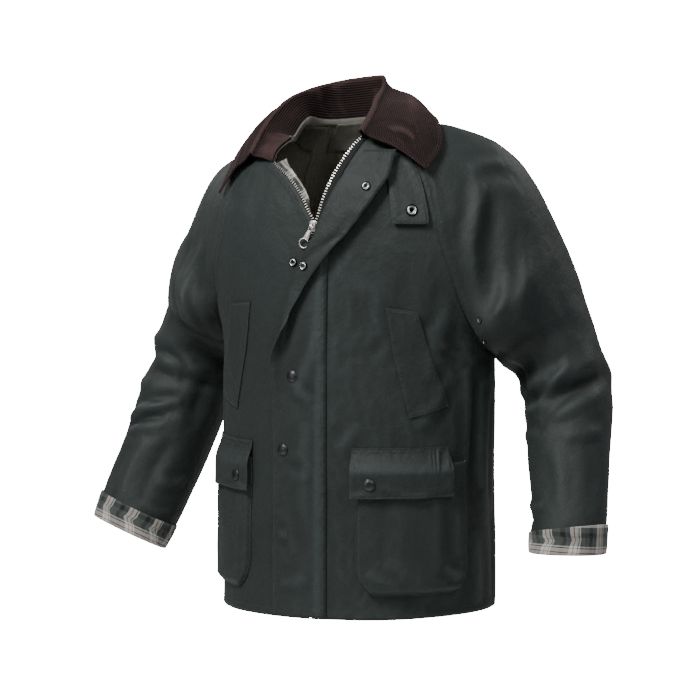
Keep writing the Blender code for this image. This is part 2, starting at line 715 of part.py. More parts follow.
def pocket_places(right):
    """Angle, height and lift over a bellows pocket: gussets at the sides and foot, mouth at the top."""
    shift, fullness = (RIGHT_POCKET_SHIFT, RIGHT_POCKET_FULL) if right else (0.0, 1.0)
    inner, outer = POCKET["inner"] + shift, POCKET["outer"] + shift
    middle, half = (inner + outer) / 2, (outer - inner) / 2
    rows = []
    for up in (0.0, 0.03, 0.08, 0.2, 0.42, 0.68, 0.88, 1.0):
        height = POCKET["bottom"] + (POCKET["mouth"] - POCKET["bottom"]) * up
        round_foot = math.sqrt(1 - (1 - min(up / POCKET_FOOT["part"], 1.0)) ** 2)
        narrow = POCKET_FOOT["width"] + (1 - POCKET_FOOT["width"]) * round_foot
        row = []
        for across in (-1.0, -0.96, -0.87, -0.5, 0.0, 0.5, 0.87, 0.96, 1.0):
            rise = min(ease((1 - abs(across)) / 0.09), ease(up / 0.06))
            full = POCKET["depth"] * fullness * (1 - 0.5 * up) * (0.75 + 0.25 * (1 - across * across))
            row.append((middle + half * narrow * across, height, POCKET_GAP + TRIM + full * rise))
        rows.append(row)
    return rows


def make_pocket(name, right):
    cloth(name, side_grid(pocket_places(right), right), WAXED, TRIM)


def make_pocket_flap(name, right):
    shift, fullness = (RIGHT_POCKET_SHIFT, RIGHT_POCKET_FULL) if right else (0.0, 1.0)
    rows = []
    for down in (1.0, 0.96, 0.7, 0.4, 0.06, 0.0):
        height = POCKET_FLAP["top"] + (POCKET_FLAP["bottom"] - POCKET_FLAP["top"]) * down
        lift = LAY_GAP + TRIM + (0.0026 + 0.0146 * fullness) * ease(down / 0.50)
        row = []
        for across in (0.0, 0.03, 0.25, 0.5, 0.75, 0.97, 1.0):
            angle = POCKET_FLAP["inner"] + (POCKET_FLAP["outer"] - POCKET_FLAP["inner"]) * across
            row.append((angle + shift, height, lift))
        rows.append(row)
    cloth(name, side_grid(rows, right), WAXED, TRIM)


def make_welt(name, right):
    top_front, top_back, foot_back, foot_front = (np.array(corner) for corner in WELT)
    rows = []
    for up in np.linspace(0, 1, 6):
        start = foot_front + (top_front - foot_front) * up
        end = foot_back + (top_back - foot_back) * up
        row = []
        for across in (0.0, 0.3, 0.6, 0.92, 1.0):
            angle, height = start + (end - start) * across
            row.append((angle, height, LAY_GAP + TRIM + 0.0015 * across))
        rows.append(row)
    cloth(name, side_grid(rows, right), WAXED, TRIM)


# Facings that show inside the neck and the open front

def make_facings():
    """The facing below the neck seam, and the checked lining beside the right zip tape."""
    inside = -(CLOTH + 0.0006)
    rows = [row[2:-2] for row in back_places()[-3:]]
    top = [(angle, height - 0.0015) for angle, height in rows[-1]]
    grid = [[body(*place, inside) for place in row] for row in rows[:-1] + [top]]
    cloth("neck_facing", np.array(grid), FACING, 0.0012)
    heights = zip_heights(True)
    behind_tape = -(CLOTH + 0.0005 + TAPE_CLOTH + 0.0006)
    grid = []
    for row, height in list(zip(front_panel(True), heights))[-7:]:
        past = smooth(LINING, height)[0]
        grid.append([from_edge(row, distance, behind_tape, True)
                     for distance in (0.030, 0.012, 0.0, -past / 2, -past)])
    cloth("lining_strip", np.array(grid), CHECK, 0.0012)


# Zip

def make_zip_tape(name, right):
    """The tape behind the front's edge, with half of the chain along its own edge."""
    behind = -(CLOTH + 0.0005)
    panel = front_panel(right)[:len(zip_heights(right))]
    panel[-1] += (panel[-2] - panel[-1]) * 0.25
    middle = 0.0003 - CHAIN_HALF
    section = (
        # from the front's edge, out of the cloth
        (middle, CHAIN_PROUD),
        (middle, behind - TAPE_CLOTH),
        (0.0090, behind - TAPE_CLOTH),
        (0.0090, behind),
        (-0.0009, behind),
        (-0.0009, CHAIN_PROUD),
    )
    bm = bmesh.new()
    rings = [[bm.verts.new(from_edge(row, across, out, right)) for across, out in section]
             for row in panel]
    for low, high in zip(rings[:-1], rings[1:]):
        for k in range(len(section)):
            n = (k + 1) % len(section)
            bm.faces.new((low[k], low[n], high[n], high[k]))
    bm.faces.new(rings[0][::-1])
    bm.faces.new(rings[-1])
    bmesh.ops.recalc_face_normals(bm, faces=bm.faces)
    mesh = bpy.data.meshes.new(name)
    bm.to_mesh(mesh)
    bm.free()
    keep(name, mesh, TAPE)


def block(name, size, middle):
    """A plain block as a scene object."""
    bm = bmesh.new()
    bmesh.ops.create_cube(bm, size=1)
    bmesh.ops.scale(bm, vec=size, verts=bm.verts)
    bmesh.ops.translate(bm, vec=middle, verts=bm.verts)
    mesh = bpy.data.meshes.new(name)
    bm.to_mesh(mesh)
    bm.free()
    return mesh


def hinge_place():
    """The middle of the bar that the zip's pull hangs from."""
    return front(0.0, ZIP_STOP - 0.010, CHAIN_PROUD + 0.0007 + PULL_AXIS_OUT)


def make_slider():
    """The slider's base with a lug and the hinge bar, joined into one solid."""
    width, thick, height = SLIDER
    middle = hinge_place()
    swing = math.radians(PULL_SWING)
    base = keep("zip_slider", block("zip_slider", (width, thick, height),
                                    (0, PULL_AXIS_OUT - thick / 2, 0)), BRASS)
    slope = front(0.0, ZIP_STOP) - front(0.0, ZIP_STOP - 0.020)
    base.location = middle
    base.rotation_euler = (-math.atan2(slope[1], slope[2]), 0, 0)
    lug = bpy.data.objects.new("slider_lug", block("slider_lug", (0.0026, PULL_AXIS_OUT, 0.0024),
                                                   (0, PULL_AXIS_OUT / 2, 0.0)))
    bar_mesh = bpy.data.meshes.new("slider_bar")
    bm = bmesh.new()
    bmesh.ops.create_cone(bm, cap_ends=True, segments=10, radius1=0.0009, radius2=0.0009, depth=0.0066)
    bm.to_mesh(bar_mesh)
    bm.free()
    bar = bpy.data.objects.new("slider_bar", bar_mesh)
    bar.rotation_euler = (0, math.pi / 2 + swing, 0)
    for tool in (lug, bar):
        cutters.objects.link(tool)
        tool.location = middle
        tool.hide_render = True
        tool.display_type = "WIRE"
        join = base.modifiers.new("join " + tool.name, "BOOLEAN")
        join.operation = "UNION"
        join.object = tool


def make_pull():
    """A flat pull: a forked tab under the hinge bar and an open ring."""
    ring_middle = -(PULL_LENGTH - RING_OUTER)
    tab_half, top = 0.0030, -0.0021
    open_angle = math.asin(tab_half * 1.5 / RING_OUTER)
    outline = [(-tab_half, top), (tab_half, top)]
    outline += [(RING_OUTER * math.sin(a), ring_middle + RING_OUTER * math.cos(a))
                for a in np.linspace(open_angle, 2 * math.pi - open_angle, 21)]
    hole = [(RING_INNER * math.sin(a), ring_middle + RING_INNER * math.cos(a))
            for a in np.linspace(0, 2 * math.pi, 19)[:-1]]
    curve = bpy.data.curves.new("zip_pull", "CURVE")
    curve.dimensions = "2D"
    curve.fill_mode = "BOTH"
    curve.extrude = 0.0007
    curve.resolution_u = 1
    curve.render_resolution_u = 0
    for points in (outline, hole):
        line = curve.splines.new("POLY")
        line.points.add(len(points) - 1)
        for target, (x, y) in zip(line.points, points):
            target.co = (x, y, 0, 1)
        line.use_cyclic_u = True
    pull = bpy.data.objects.new("zip_pull", curve)
    jacket.objects.link(pull)
    curve.materials.append(material(BRASS))
    pull.location = hinge_place()
    pull.rotation_euler = (math.pi / 2, math.radians(PULL_SWING), 0)


# Press studs

CAP_PROFILE = ((0.0, 1.0), (0.55, 0.92), (0.9, 0.6), (1.0, 0.25), (1.0, 0.0), (0.0, 0.0))
SOCKET_PROFILE = ((0.0, 0.35), (0.4, 0.35), (0.5, 0.8), (0.85, 0.8), (1.0, 0.3), (1.0, 0.0), (0.0, 0.0))


def make_stud(name, place, outward, radius, profile):
    """A round stud, turned from its profile, standing on the cloth."""
    mesh = bpy.data.meshes.new(name)
    bm = bmesh.new()
    verts = [bm.verts.new((x * radius, 0, z * STUD_HEIGHT)) for x, z in profile]
    for low, high in zip(verts[:-1], verts[1:]):
        bm.edges.new((low, high))
    bm.to_mesh(mesh)
    bm.free()
    stud = keep(name, mesh, GUNMETAL)
    turned = stud.modifiers.new("turned", "SCREW")
    turned.steps = 12
    turned.render_steps = 12
    turned.use_merge_vertices = True
    turned.merge_threshold = 0.00005
    x, y, z = outward
    stud.location = place + np.array(outward) * 0.0005
    stud.rotation_euler = (0, math.acos(z), math.atan2(y, x))


def flap_stud(name, height, length, radius, profile, under=False):
    """A stud on the storm flap; under puts it on the side that the roll has turned up."""
    lift = -TRIM if under else 0.0
    place = flap_point(height, length, lift)
    across = flap_point(height, length - 0.002) - flap_point(height, length + 0.002)
    up = flap_point(height + 0.002, length) - flap_point(height - 0.002, length)
    outward = unit(np.cross(across, up)) * (-1 if under else 1)
    make_stud(name, place, outward, radius, profile)


def make_studs():
    flap_stud("stud_flap_upper", -0.366, 0.053, STUD_RADIUS, CAP_PROFILE)
    flap_stud("stud_flap_lower", -0.475, 0.070, STUD_RADIUS, CAP_PROFILE)
    flap_stud("socket_flap_top", -0.092, 0.064, SOCKET_RADIUS, SOCKET_PROFILE, under=True)
    flap_stud("socket_flap_edge", -0.203, 0.056, SOCKET_RADIUS, SOCKET_PROFILE, under=True)
    place = angle_at(-0.031, -0.199)
    make_stud("stud_front", body(place, -0.199, 0.0), body_normal(place, -0.199),
              SOCKET_RADIUS, SOCKET_PROFILE)
    angle, height = -53.0, -0.122
    make_stud("socket_tab", body(angle, height, LAY_GAP + 2 * TRIM + 0.0030),
              body_normal(angle, height), STUD_RADIUS, SOCKET_PROFILE)
    height = POCKET_FLAP["bottom"] + 0.021
    for name, angle, fullness in (("stud_pocket_left", -65.0, 1.0),
                                  ("stud_pocket_right", 180 + 53.0, RIGHT_POCKET_FULL)):
        lift = LAY_GAP + TRIM + 0.0023 + 0.0146 * fullness
        make_stud(name, body(angle, height, lift), body_normal(angle, height), STUD_RADIUS, CAP_PROFILE)


def make_jacket():
    make_panels()
    for side, right in (("left", False), ("right", True)):
        make_sleeve("sleeve_" + side, right)
        make_cuff("cuff_" + side, right)
        make_pocket("pocket_" + side, right)
        make_pocket_flap("pocket_flap_" + side, right)
        make_welt("welt_" + side, right)
        make_zip_tape("zip_tape_" + side, right)
    make_collar()
    make_storm_flap()
    make_tab()
    make_facings()
    make_slider()
    make_pull()
    make_studs()


for old in list(bpy.data.objects):
    bpy.data.objects.remove(old)
jacket = bpy.data.collections.new("waxed_cotton_jacket")
cutters = bpy.data.collections.new("cutters")
bpy.context.scene.collection.children.link(jacket)
bpy.context.scene.collection.children.link(cutters)
make_jacket()
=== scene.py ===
# %% [markdown]
# # A waxed cotton jacket
#
# The jacket hangs filled out, as if someone wore it. Plain solids of every sewn piece are already made, and
# this lesson dresses them: thin shells of cloth with listed creases, corduroy, a check lining, a metal
# zip, studs and all the stitching. Everything is in metres, the front faces -Y and the wearer's left is +X.
# The origin is the middle of the neck seam.

# %% Load the solids that the looks are built around
import json
import math

import bmesh
import bpy
import numpy as np
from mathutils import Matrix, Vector, noise as clouds

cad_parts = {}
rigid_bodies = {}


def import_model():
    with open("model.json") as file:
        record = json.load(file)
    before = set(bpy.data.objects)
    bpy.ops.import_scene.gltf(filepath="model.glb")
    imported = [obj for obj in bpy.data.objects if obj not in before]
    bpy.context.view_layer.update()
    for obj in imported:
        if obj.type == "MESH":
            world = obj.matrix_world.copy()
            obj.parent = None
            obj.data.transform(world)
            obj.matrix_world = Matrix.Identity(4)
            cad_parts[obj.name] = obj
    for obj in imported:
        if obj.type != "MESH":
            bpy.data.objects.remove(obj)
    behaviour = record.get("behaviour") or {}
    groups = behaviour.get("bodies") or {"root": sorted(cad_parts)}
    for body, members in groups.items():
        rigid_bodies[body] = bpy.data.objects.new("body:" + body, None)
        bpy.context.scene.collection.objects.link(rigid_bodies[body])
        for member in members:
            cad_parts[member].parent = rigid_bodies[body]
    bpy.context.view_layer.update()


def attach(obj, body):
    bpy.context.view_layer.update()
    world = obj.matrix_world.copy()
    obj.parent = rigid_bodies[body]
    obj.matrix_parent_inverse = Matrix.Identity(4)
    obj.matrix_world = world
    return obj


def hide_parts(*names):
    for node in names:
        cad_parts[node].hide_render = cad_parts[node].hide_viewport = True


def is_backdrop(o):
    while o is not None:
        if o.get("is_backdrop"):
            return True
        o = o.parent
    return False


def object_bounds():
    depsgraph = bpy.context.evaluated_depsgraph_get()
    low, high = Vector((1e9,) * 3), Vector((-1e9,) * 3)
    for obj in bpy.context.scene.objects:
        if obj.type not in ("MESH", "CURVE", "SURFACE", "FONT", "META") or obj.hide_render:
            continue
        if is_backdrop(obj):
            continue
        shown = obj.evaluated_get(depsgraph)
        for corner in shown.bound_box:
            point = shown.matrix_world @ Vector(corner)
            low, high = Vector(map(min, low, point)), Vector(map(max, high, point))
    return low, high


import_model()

# %% [markdown]
# ## Camera and light
#
# A garment is read by its outline and by the soft shade in its folds. A long lens from four and a half
# metres keeps both sleeves in proportion. A short lens close by would be easier to frame and would swell
# the near sleeve. The light is five panels: four large ones, because small lamps put hard spots on wax, and
# a smaller low one that the zip's metal mirrors. The room itself glows only a little, so that folds keep
# their shade, and what the camera sees behind the jacket is a bright backdrop.

# %% Helpers for objects and nodes
def keep(name, data):
    """A new object in the scene."""
    made = bpy.data.objects.new(name, data)
    bpy.context.scene.collection.objects.link(made)
    return made


def add(tree, kind, inputs=(), **settings):
    """A node with its settings, its inputs set or linked by name or number."""
    made = tree.nodes.new(kind)
    for key, value in settings.items():
        setattr(made, key, value)
    for key, value in dict(inputs).items():
        if isinstance(value, bpy.types.NodeSocket):
            tree.links.new(value, made.inputs[key])
        else:
            made.inputs[key].default_value = value
    return made


print("helpers: keep, add")

# %% Camera
eye, aim = Vector((1.9727, -4.0446, 0.15)), Vector((0.0, 0.0, -0.342))
LENS, SIDE_SHIFT = 154.3, -8.5 / 700     # millimetres, part of the frame's width
camera = keep("camera", bpy.data.cameras.new("camera"))
camera.location = eye
camera.rotation_euler = (aim - eye).to_track_quat("-Z", "Y").to_euler()
camera.data.lens, camera.data.shift_x = LENS, SIDE_SHIFT
bpy.context.scene.camera = camera
print("camera", round((aim - eye).length, 2), "m away")

# %% Light panels and room
PANELS = (
    # name, place, size, watts
    ("key_panel", (-0.6, -1.9, 1.8), 0.9, 98.0),
    ("shine_panel", (-2.0, -4.0, -0.1), 0.5, 18.0),
    ("side_panel", (3.0, -2.0, 2.2), 1.2, 46.0),
    ("edge_panel", (-3.2, 1.6, 1.6), 1.4, 18.0),
    ("back_panel", (1.6, 3.4, 2.2), 1.6, 60.0),
)
LIT = Vector((0, 0, -0.35))     # the point that the panels face
ROOM_GLOW, BACKDROP_GLOW = 0.2, 24.0
for name, place, size, watts in PANELS:
    lamp = bpy.data.lights.new(name, "AREA")
    lamp.size, lamp.energy = size, watts
    panel = keep(name, lamp)
    panel.location = place
    panel.rotation_euler = (LIT - Vector(place)).to_track_quat("-Z", "Y").to_euler()
room = bpy.data.worlds.new("pale_room")
room.use_nodes = True
sky = room.node_tree
glow = sky.nodes["Background"]
glow.inputs["Color"].default_value = (0.92, 0.93, 0.94, 1)
glow.inputs["Strength"].default_value = ROOM_GLOW
backdrop = add(sky, "ShaderNodeBackground", {"Color": (1, 1, 1, 1), "Strength": BACKDROP_GLOW})
seen = add(sky, "ShaderNodeLightPath").outputs["Is Camera Ray"]
either = add(sky, "ShaderNodeMixShader", {0: seen, 1: glow.outputs[0], 2: backdrop.outputs[0]})
sky.links.new(either.outputs[0], sky.nodes["World Output"].inputs[0])
bpy.context.scene.world = room
print("panels:", len(PANELS))

# %% [markdown]
# ## The plain form of the body
#
# The body is a stack of level rings, each an ellipse with its own width, front depth and back depth. The
# tables below give a few rings, and a smooth curve runs between them. Sculpting could make the same form,
# but rings keep every piece that lies on the body, such as a pocket or a flap, on exactly the same surface:
# each one asks for the point at an angle and a height and moves it outwards.

# %% Sizes and rings of the body
CLOTH = 0.0018          # wall of the waxed cotton with its lining
TRIM = 0.0014           # wall of flaps, welts and pockets
CORDUROY = 0.0028       # wall of the collar
LAY_GAP = 0.0008        # space under a piece that lies on a panel
POCKET_GAP = 0.0005     # space under the edges of a pocket
HEM = -0.725
HEM_TILT = 0.007        # how much lower the hem is on the wearer's right than in the middle
UNDERARM = -0.345
NECK_END = -0.002       # where the raglan seams meet the neck
ZIP_STOP = -0.137
SIDES = (("left", False), ("right", True))
CHAIN_HALF = 0.0032     # from the zip's line to the edge of each front
BODY_RINGS = (
    # height, half_width, front_depth, back_depth
    (-0.725, 0.218, 0.163, 0.152),
    (-0.6, 0.216, 0.162, 0.151),
    (-0.45, 0.215, 0.161, 0.149),
    (-0.345, 0.215, 0.16, 0.146),
    (-0.27, 0.227, 0.158, 0.142),
    (-0.2, 0.243, 0.155, 0.135),
    (-0.14, 0.24, 0.147, 0.125),
    (-0.107, 0.228, 0.139, 0.117),
    (-0.075, 0.209, 0.127, 0.106),
    (-0.04, 0.168, 0.112, 0.09),
    (-0.015, 0.124, 0.1, 0.076),
    (0.0, 0.098, 0.092, 0.066),
    (0.007, 0.083, 0.087, 0.06),
)
SEAMS = (
    # height, front_angle, back_angle
    (-0.725, 6.0, 6.0),
    (-0.45, 10.0, 10.0),
    (-0.345, 14.0, 14.0),
    (-0.33, -1.0, 27.0),
    (-0.3, -17.0, 38.0),
    (-0.25, -30.0, 46.0),
    (-0.2, -38.0, 50.0),
    (-0.14, -42.5, 54.0),
    (-0.075, -42.0, 54.0),
    (-0.002, -41.0, 46.0),
)
OPENING = (
    # height, left_x, right_x
    (-0.137, 0.0018, 0.0018),
    (-0.127, 0.0045, 0.01),
    (-0.106, 0.009, 0.024),
    (-0.088, 0.0145, 0.041),
    (-0.071, 0.02, 0.064),
    (-0.056, 0.027, 0.088),
    (-0.03, 0.041, 0.095),
    (-0.018, 0.05, 0.095),
)
LEFT_TOP, RIGHT_TOP = -0.018, -0.056
NECK = (
    # angle, height
    (-67.0, -0.018),
    (-41.0, -0.002),
    (0.0, 0.006),
    (46.0, -0.002),
    (90.0, 0.003),
    (134.0, -0.002),
    (180.0, 0.006),
    (221.0, -0.002),
    (228.0, -0.009),
    (235.0, -0.028),
    (242.0, -0.056),
)
NECK_SAG = {"depth": 0.026, "angle": 210.0, "reach": 24.0, "from": -0.075, "to": -0.005}

# %% Reading a table smoothly
def smooth(rows, at):
    """Values at one place or many along a table, read smoothly between its rows by the first column."""
    table = np.array(rows, dtype=float)
    keys, values = table[:, 0], table[:, 1:]
    at = np.clip(np.asarray(at, dtype=float), keys[0], keys[-1])
    low = np.clip(np.searchsorted(keys, at, side="right") - 1, 0, len(keys) - 2)
    chords = np.diff(values, axis=0) / np.diff(keys)[:, None]
    chords = np.vstack((chords[:1], chords, chords[-1:]))
    before, after = chords[:-1], chords[1:]
    level = before * after <= 0
    slopes = np.where(level, 0.0, 2 * before * after / np.where(level, 1.0, before + after))
    step = (keys[low + 1] - keys[low])[..., None]
    f = (at - keys[low])[..., None] / step
    return ((1 + 2 * f) * (1 - f) ** 2 * values[low] + f * (1 - f) ** 2 * step * slopes[low]
            + f * f * (3 - 2 * f) * values[low + 1] + f * f * (f - 1) * step * slopes[low + 1])


def ease(part):
    """0 to 1 as part runs from 0 to 1, with soft ends."""
    part = np.clip(part, 0.0, 1.0)
    return part * part * (3 - 2 * part)


def unit(vectors):
    vectors = np.asarray(vectors, dtype=float)
    return vectors / np.maximum(np.linalg.norm(vectors, axis=-1, keepdims=True), 1e-12)


def neck_height(angle):
    return smooth(NECK, angle)[..., 0]


def seam_angle(height, back):
    """The angle of the side seam, and above the underarm of a raglan seam."""
    both = smooth(SEAMS, height)
    return np.where(np.asarray(height) > UNDERARM, both[..., 1 if back else 0], both[..., 0])


print("half width at the chest:", round(float(smooth(BODY_RINGS, -0.2)[0]), 3))

# %% Points on the body's rings
def body_ring(angle, height):
    """Points of the plain form."""
    angle, height = np.broadcast_arrays(np.asarray(angle, float), np.asarray(height, float))
    half_width, front_depth, back_depth = np.moveaxis(smooth(BODY_RINGS, height), -1, 0)
    turn = np.radians(angle)
    depth = np.where(np.sin(turn) < 0, front_depth, back_depth)
    tilt = HEM_TILT * np.cos(turn) * ease((UNDERARM - height) / (UNDERARM - HEM))
    away = (angle % 360 - NECK_SAG["angle"]) / NECK_SAG["reach"]
    sag = ease((height - NECK_SAG["from"]) / (NECK_SAG["to"] - NECK_SAG["from"]))
    sag = sag * NECK_SAG["depth"] * np.exp(-away * away)
    return np.stack((half_width * np.cos(turn), depth * np.sin(turn), height + tilt - sag), -1)


def side_ring(angle, height, right):
    """Points given for the wearer's left, or the right's own points in a mirror."""
    if right:
        return body_ring(180 - angle, height) * np.array([-1.0, 1.0, 1.0])
    return body_ring(angle, height)


def body_normal(angle, height):
    across = body_ring(angle + 0.5, height) - body_ring(angle - 0.5, height)
    up = body_ring(angle, height + 0.001) - body_ring(angle, height - 0.001)
    return unit(np.cross(across, up))


def angle_at(x, height):
    """The front angle that has this x."""
    half_width = smooth(BODY_RINGS, height)[..., 0]
    return -np.degrees(np.arccos(np.clip(x / half_width, -1.0, 1.0)))


print("middle of the chest:", body_ring(-90.0, -0.2).round(3))

# %% [markdown]
# ## Creases
#
# Waxed cotton is stiff, so it breaks into few, rather long creases with a rounded ridge and a shallow
# valley on each side. A cloth simulation could find some by itself, but it would put them anywhere. Here
# each crease is one row in a table: a curved line through three points on the cloth, its width, and how far
# it pushes out, or in if negative. The ends fade, and no two rows are alike.

# %% Folds and creases of the body
BODY_FOLDS = (
    # angle and height at two places, width, push; lengths in millimetres
    (-12, -360, -17, -620, 20, -6),
    (-2, -380, -6, -600, 16, 4),
    (-26, -300, -34, -440, 22, -4),
    (196, -370, 200, -600, 20, -5),
    (30, -340, 40, -600, 24, -5),
    (150, -340, 140, -600, 24, -5),
    (62, -240, 80, -420, 26, -4),
    (118, -240, 100, -420, 26, -4),
)
BODY_CREASES = (
    # angle and height at three places, width, push
    (-20, -350, -16, -420, -19, -500, 10, 3),
    (-8, -375, -11, -450, -8, -540, 9, 2.6),
    (2, -400, -2, -470, 1, -560, 10, -2.6),
    (-28, -355, -36, -405, -46, -440, 11, 2),
    (-32, -230, -38, -290, -41, -370, 12, 2.2),
    (-54, -180, -58, -250, -57, -320, 16, -1.6),
    (-70, -430, -74, -455, -80, -470, 10, 1.4),
    (-60, -640, -48, -655, -38, -700, 14, 1.8),
    (-14, -600, -10, -655, -13, -715, 14, 2.8),
    (4, -580, 8, -650, 5, -715, 12, -2.6),
    (-98, -220, -101, -300, -98, -390, 18, -1.4),
    (-112, -120, -118, -190, -116, -270, 16, 1.8),
    (-128, -240, -132, -310, -130, -390, 12, -1.8),
    (-104, -440, -100, -520, -103, -610, 14, 1.4),
    (-118, -560, -112, -630, -114, -710, 13, 1.6),
    (204, -350, 207, -420, 203, -480, 10, 2.4),
    (190, -370, 187, -450, 191, -550, 10, 2.6),
    (180, -420, 183, -520, 178, -640, 12, -2.4),
    (24, -360, 30, -430, 27, -520, 11, 3),
    (40, -330, 48, -380, 60, -400, 12, 2.4),
    (36, -560, 33, -630, 37, -710, 14, -2.6),
    (58, -200, 66, -250, 70, -330, 16, 2.4),
    (72, -460, 69, -560, 73, -680, 16, 2),
    (84, -90, 92, -110, 101, -90, 14, 1.6),
    (96, -300, 91, -400, 94, -500, 18, -1.8),
    (112, -440, 115, -540, 111, -650, 15, 2.2),
    (122, -190, 114, -250, 110, -320, 15, 2),
    (140, -330, 132, -385, 120, -410, 12, 2.6),
    (156, -370, 150, -440, 154, -540, 11, 2.8),
    (146, -560, 149, -630, 144, -710, 13, -2.2),
)
BODY_RADIUS = 0.19      # turns an angle into a length of cloth
MM = 0.001
LINE_PARTS = 8          # straight parts that a crease's curved line is measured on


def straight_folds(folds, u, v):
    """How far the large folds push the cloth at (u, v), in metres along the cloth."""
    depth = 0.0
    for u_a, v_a, u_b, v_b, width, push in folds:
        along_u, along_v = u_b - u_a, v_b - v_a
        part = ((u - u_a) * along_u + (v - v_a) * along_v) / (along_u ** 2 + along_v ** 2)
        part = np.clip(part, 0.0, 1.0)
        away = np.hypot(u - u_a - along_u * part, v - v_a - along_v * part) / width
        depth = depth + push * np.exp(-away * away) * (0.35 + 0.65 * np.sin(math.pi * part))
    return depth


def crease_depth(creases, u, v):
    """How far creases push: a rounded ridge that fades at its ends, with a shallow valley on each side."""
    depth = np.zeros(np.shape(u))
    steps = np.linspace(0, 1, LINE_PARTS + 1)
    for u_a, v_a, u_b, v_b, u_c, v_c, width, push in creases:
        best = np.full(np.shape(u), 1e9)
        part = np.zeros(np.shape(u))
        line_u = (1 - steps) ** 2 * u_a + 2 * steps * (1 - steps) * u_b + steps ** 2 * u_c
        line_v = (1 - steps) ** 2 * v_a + 2 * steps * (1 - steps) * v_b + steps ** 2 * v_c
        for k in range(LINE_PARTS):
            du, dv = line_u[k + 1] - line_u[k], line_v[k + 1] - line_v[k]
            f = np.clip(((u - line_u[k]) * du + (v - line_v[k]) * dv) / (du * du + dv * dv), 0, 1)
            away = np.hypot(u - line_u[k] - du * f, v - line_v[k] - dv * f)
            nearer = away < best
            best = np.where(nearer, away, best)
            part = np.where(nearer, (k + f) / LINE_PARTS, part)
        away = best / width
        ridge = np.exp(-away * away) - 0.4 * np.exp(-((away - 2.0) / 1.1) ** 2)
        depth += push * ridge * np.sqrt(np.clip(4 * part * (1 - part), 0, 1))
    return depth


def in_metres(rows, u_unit, v_unit=MM):
    """A table of folds in metres of cloth; the units are those of its places."""
    return [[value * (u_unit, v_unit)[k % 2] for k, value in enumerate(row[:-2])]
            + [value * MM for value in row[-2:]] for row in rows]


large_folds = in_metres(BODY_FOLDS, math.radians(BODY_RADIUS))
body_creases = in_metres(BODY_CREASES, math.radians(BODY_RADIUS))
print("folds and creases on the body:", len(large_folds), len(body_creases))

# %% Rumples, the small uneven swells of worn cloth
RUMPLES = (
    # size of a swell, height, share of sharp ridges
    (0.095, 0.003, 0.0),
    (0.042, 0.0012, 0.6),
    (0.019, 0.0004, 0.8),
)
RUMPLE_STRETCH = 0.6     # swells are longer up and down than across


def rumple(points):
    """Height of the swells at points in space, the same for every piece there."""
    flat = np.reshape(points, (-1, 3)) * (1.0, 1.0, RUMPLE_STRETCH)
    total = np.zeros(len(flat))
    for size, height, sharp in RUMPLES:
        wave = np.array([clouds.noise(place) for place in (flat / size).tolist()])
        total += height * ((1 - sharp) * wave + sharp * (0.35 - 2 * np.abs(wave)))
    return total.reshape(np.shape(points)[:-1])


print("swells:", len(RUMPLES), "sizes, up to", sum(row[1] for row in RUMPLES) * 1000, "mm")

# %% Cloth of the body with its creases
ZIP_DEPTH = 0.165        # how far the zip's line stands in front of the origin


def from_raglan(turn, height):
    """How far a point lies from the raglan seams, in metres of cloth; below the underarm it is far."""
    near = np.where(turn > 90, 180 - turn, turn)
    front_gap = seam_angle(height, False) - near
    back_gap = near - seam_angle(height, True)
    gap = np.radians(np.maximum(front_gap, back_gap)) * BODY_RADIUS
    return np.where(height > UNDERARM - 0.004, gap, 1.0)


def relief(angle, height):
    """How far folds and creases push the body's cloth."""
    turn = (angle + 90) % 360 - 90
    u = np.radians(turn) * BODY_RADIUS
    low = ease((height - HEM) / 0.05)
    high = ease((UNDERARM + 0.14 - height) / 0.1)
    calm = ease(from_raglan(turn, height) / 0.035) * ease((neck_height(turn) - height) / 0.03)
    return (straight_folds(large_folds, u, height) * low * high
            + crease_depth(body_creases, u, height) * calm)


def body(angle, height, lift=0.0):
    """Points on the folded cloth of the body, moved out by lift."""
    angle, height = np.broadcast_arrays(np.asarray(angle, float), np.asarray(height, float))
    form = body_ring(angle, height)
    turn = (angle + 90) % 360 - 90
    from_zip_line = np.hypot(form[..., 0], np.maximum(form[..., 1] + ZIP_DEPTH, 0.0))
    calm = (ease(from_raglan(turn, height) / 0.03) * ease((neck_height(turn) - height) / 0.03)
            * ease((from_zip_line - 0.006) / 0.03))
    push = relief(angle, height) + rumple(form) * calm + lift
    return form + body_normal(angle, height) * push[..., None]


def front(x, height, lift=0.0):
    """Points of the front, given by their x."""
    return body(angle_at(x, height), height, lift)


print("cloth at the chest:", body(-60.0, -0.25).round(4))

# %% [markdown]
# ## From a grid of points to a sheet of cloth
#
# Every sewn piece starts as a grid of points on its outer side. A plain surface would look like paper at
# its edges, so the grid gets a wall with the Solidify modifier, and its result is kept as a plain mesh.
# Three things are stored for the materials: a UV map in metres of cloth, so that weave and wales follow the
# piece; how much each point stands on a ridge, because wax rubs off there, or lies in a valley, where the
# waxed cotton's colour paints in shade; and which points lie on the inner side.

# %% Tools for grids
def normals(grid, closed=0):
    """Outward directions of a grid. The first closed rows are rings, whose ends meet."""
    across = np.gradient(grid, axis=1)
    if closed:
        across[:closed, 0] = grid[:closed, 1] - grid[:closed, -2]
        across[:closed, -1] = across[:closed, 0]
    return unit(np.cross(across, np.gradient(grid, axis=0)))


def cloth_lengths(grid):
    """Metres of cloth across and up to each point, counted from the middle column and the first row."""
    across = np.linalg.norm(np.diff(grid, axis=1), axis=2)
    up = np.linalg.norm(np.diff(grid, axis=0), axis=2)
    u = np.concatenate((np.zeros((len(grid), 1)), np.cumsum(across, axis=1)), axis=1)
    v = np.concatenate((np.zeros((1, grid.shape[1])), np.cumsum(up, axis=0)), axis=0)
    return u - u[:, [grid.shape[1] // 2]], v


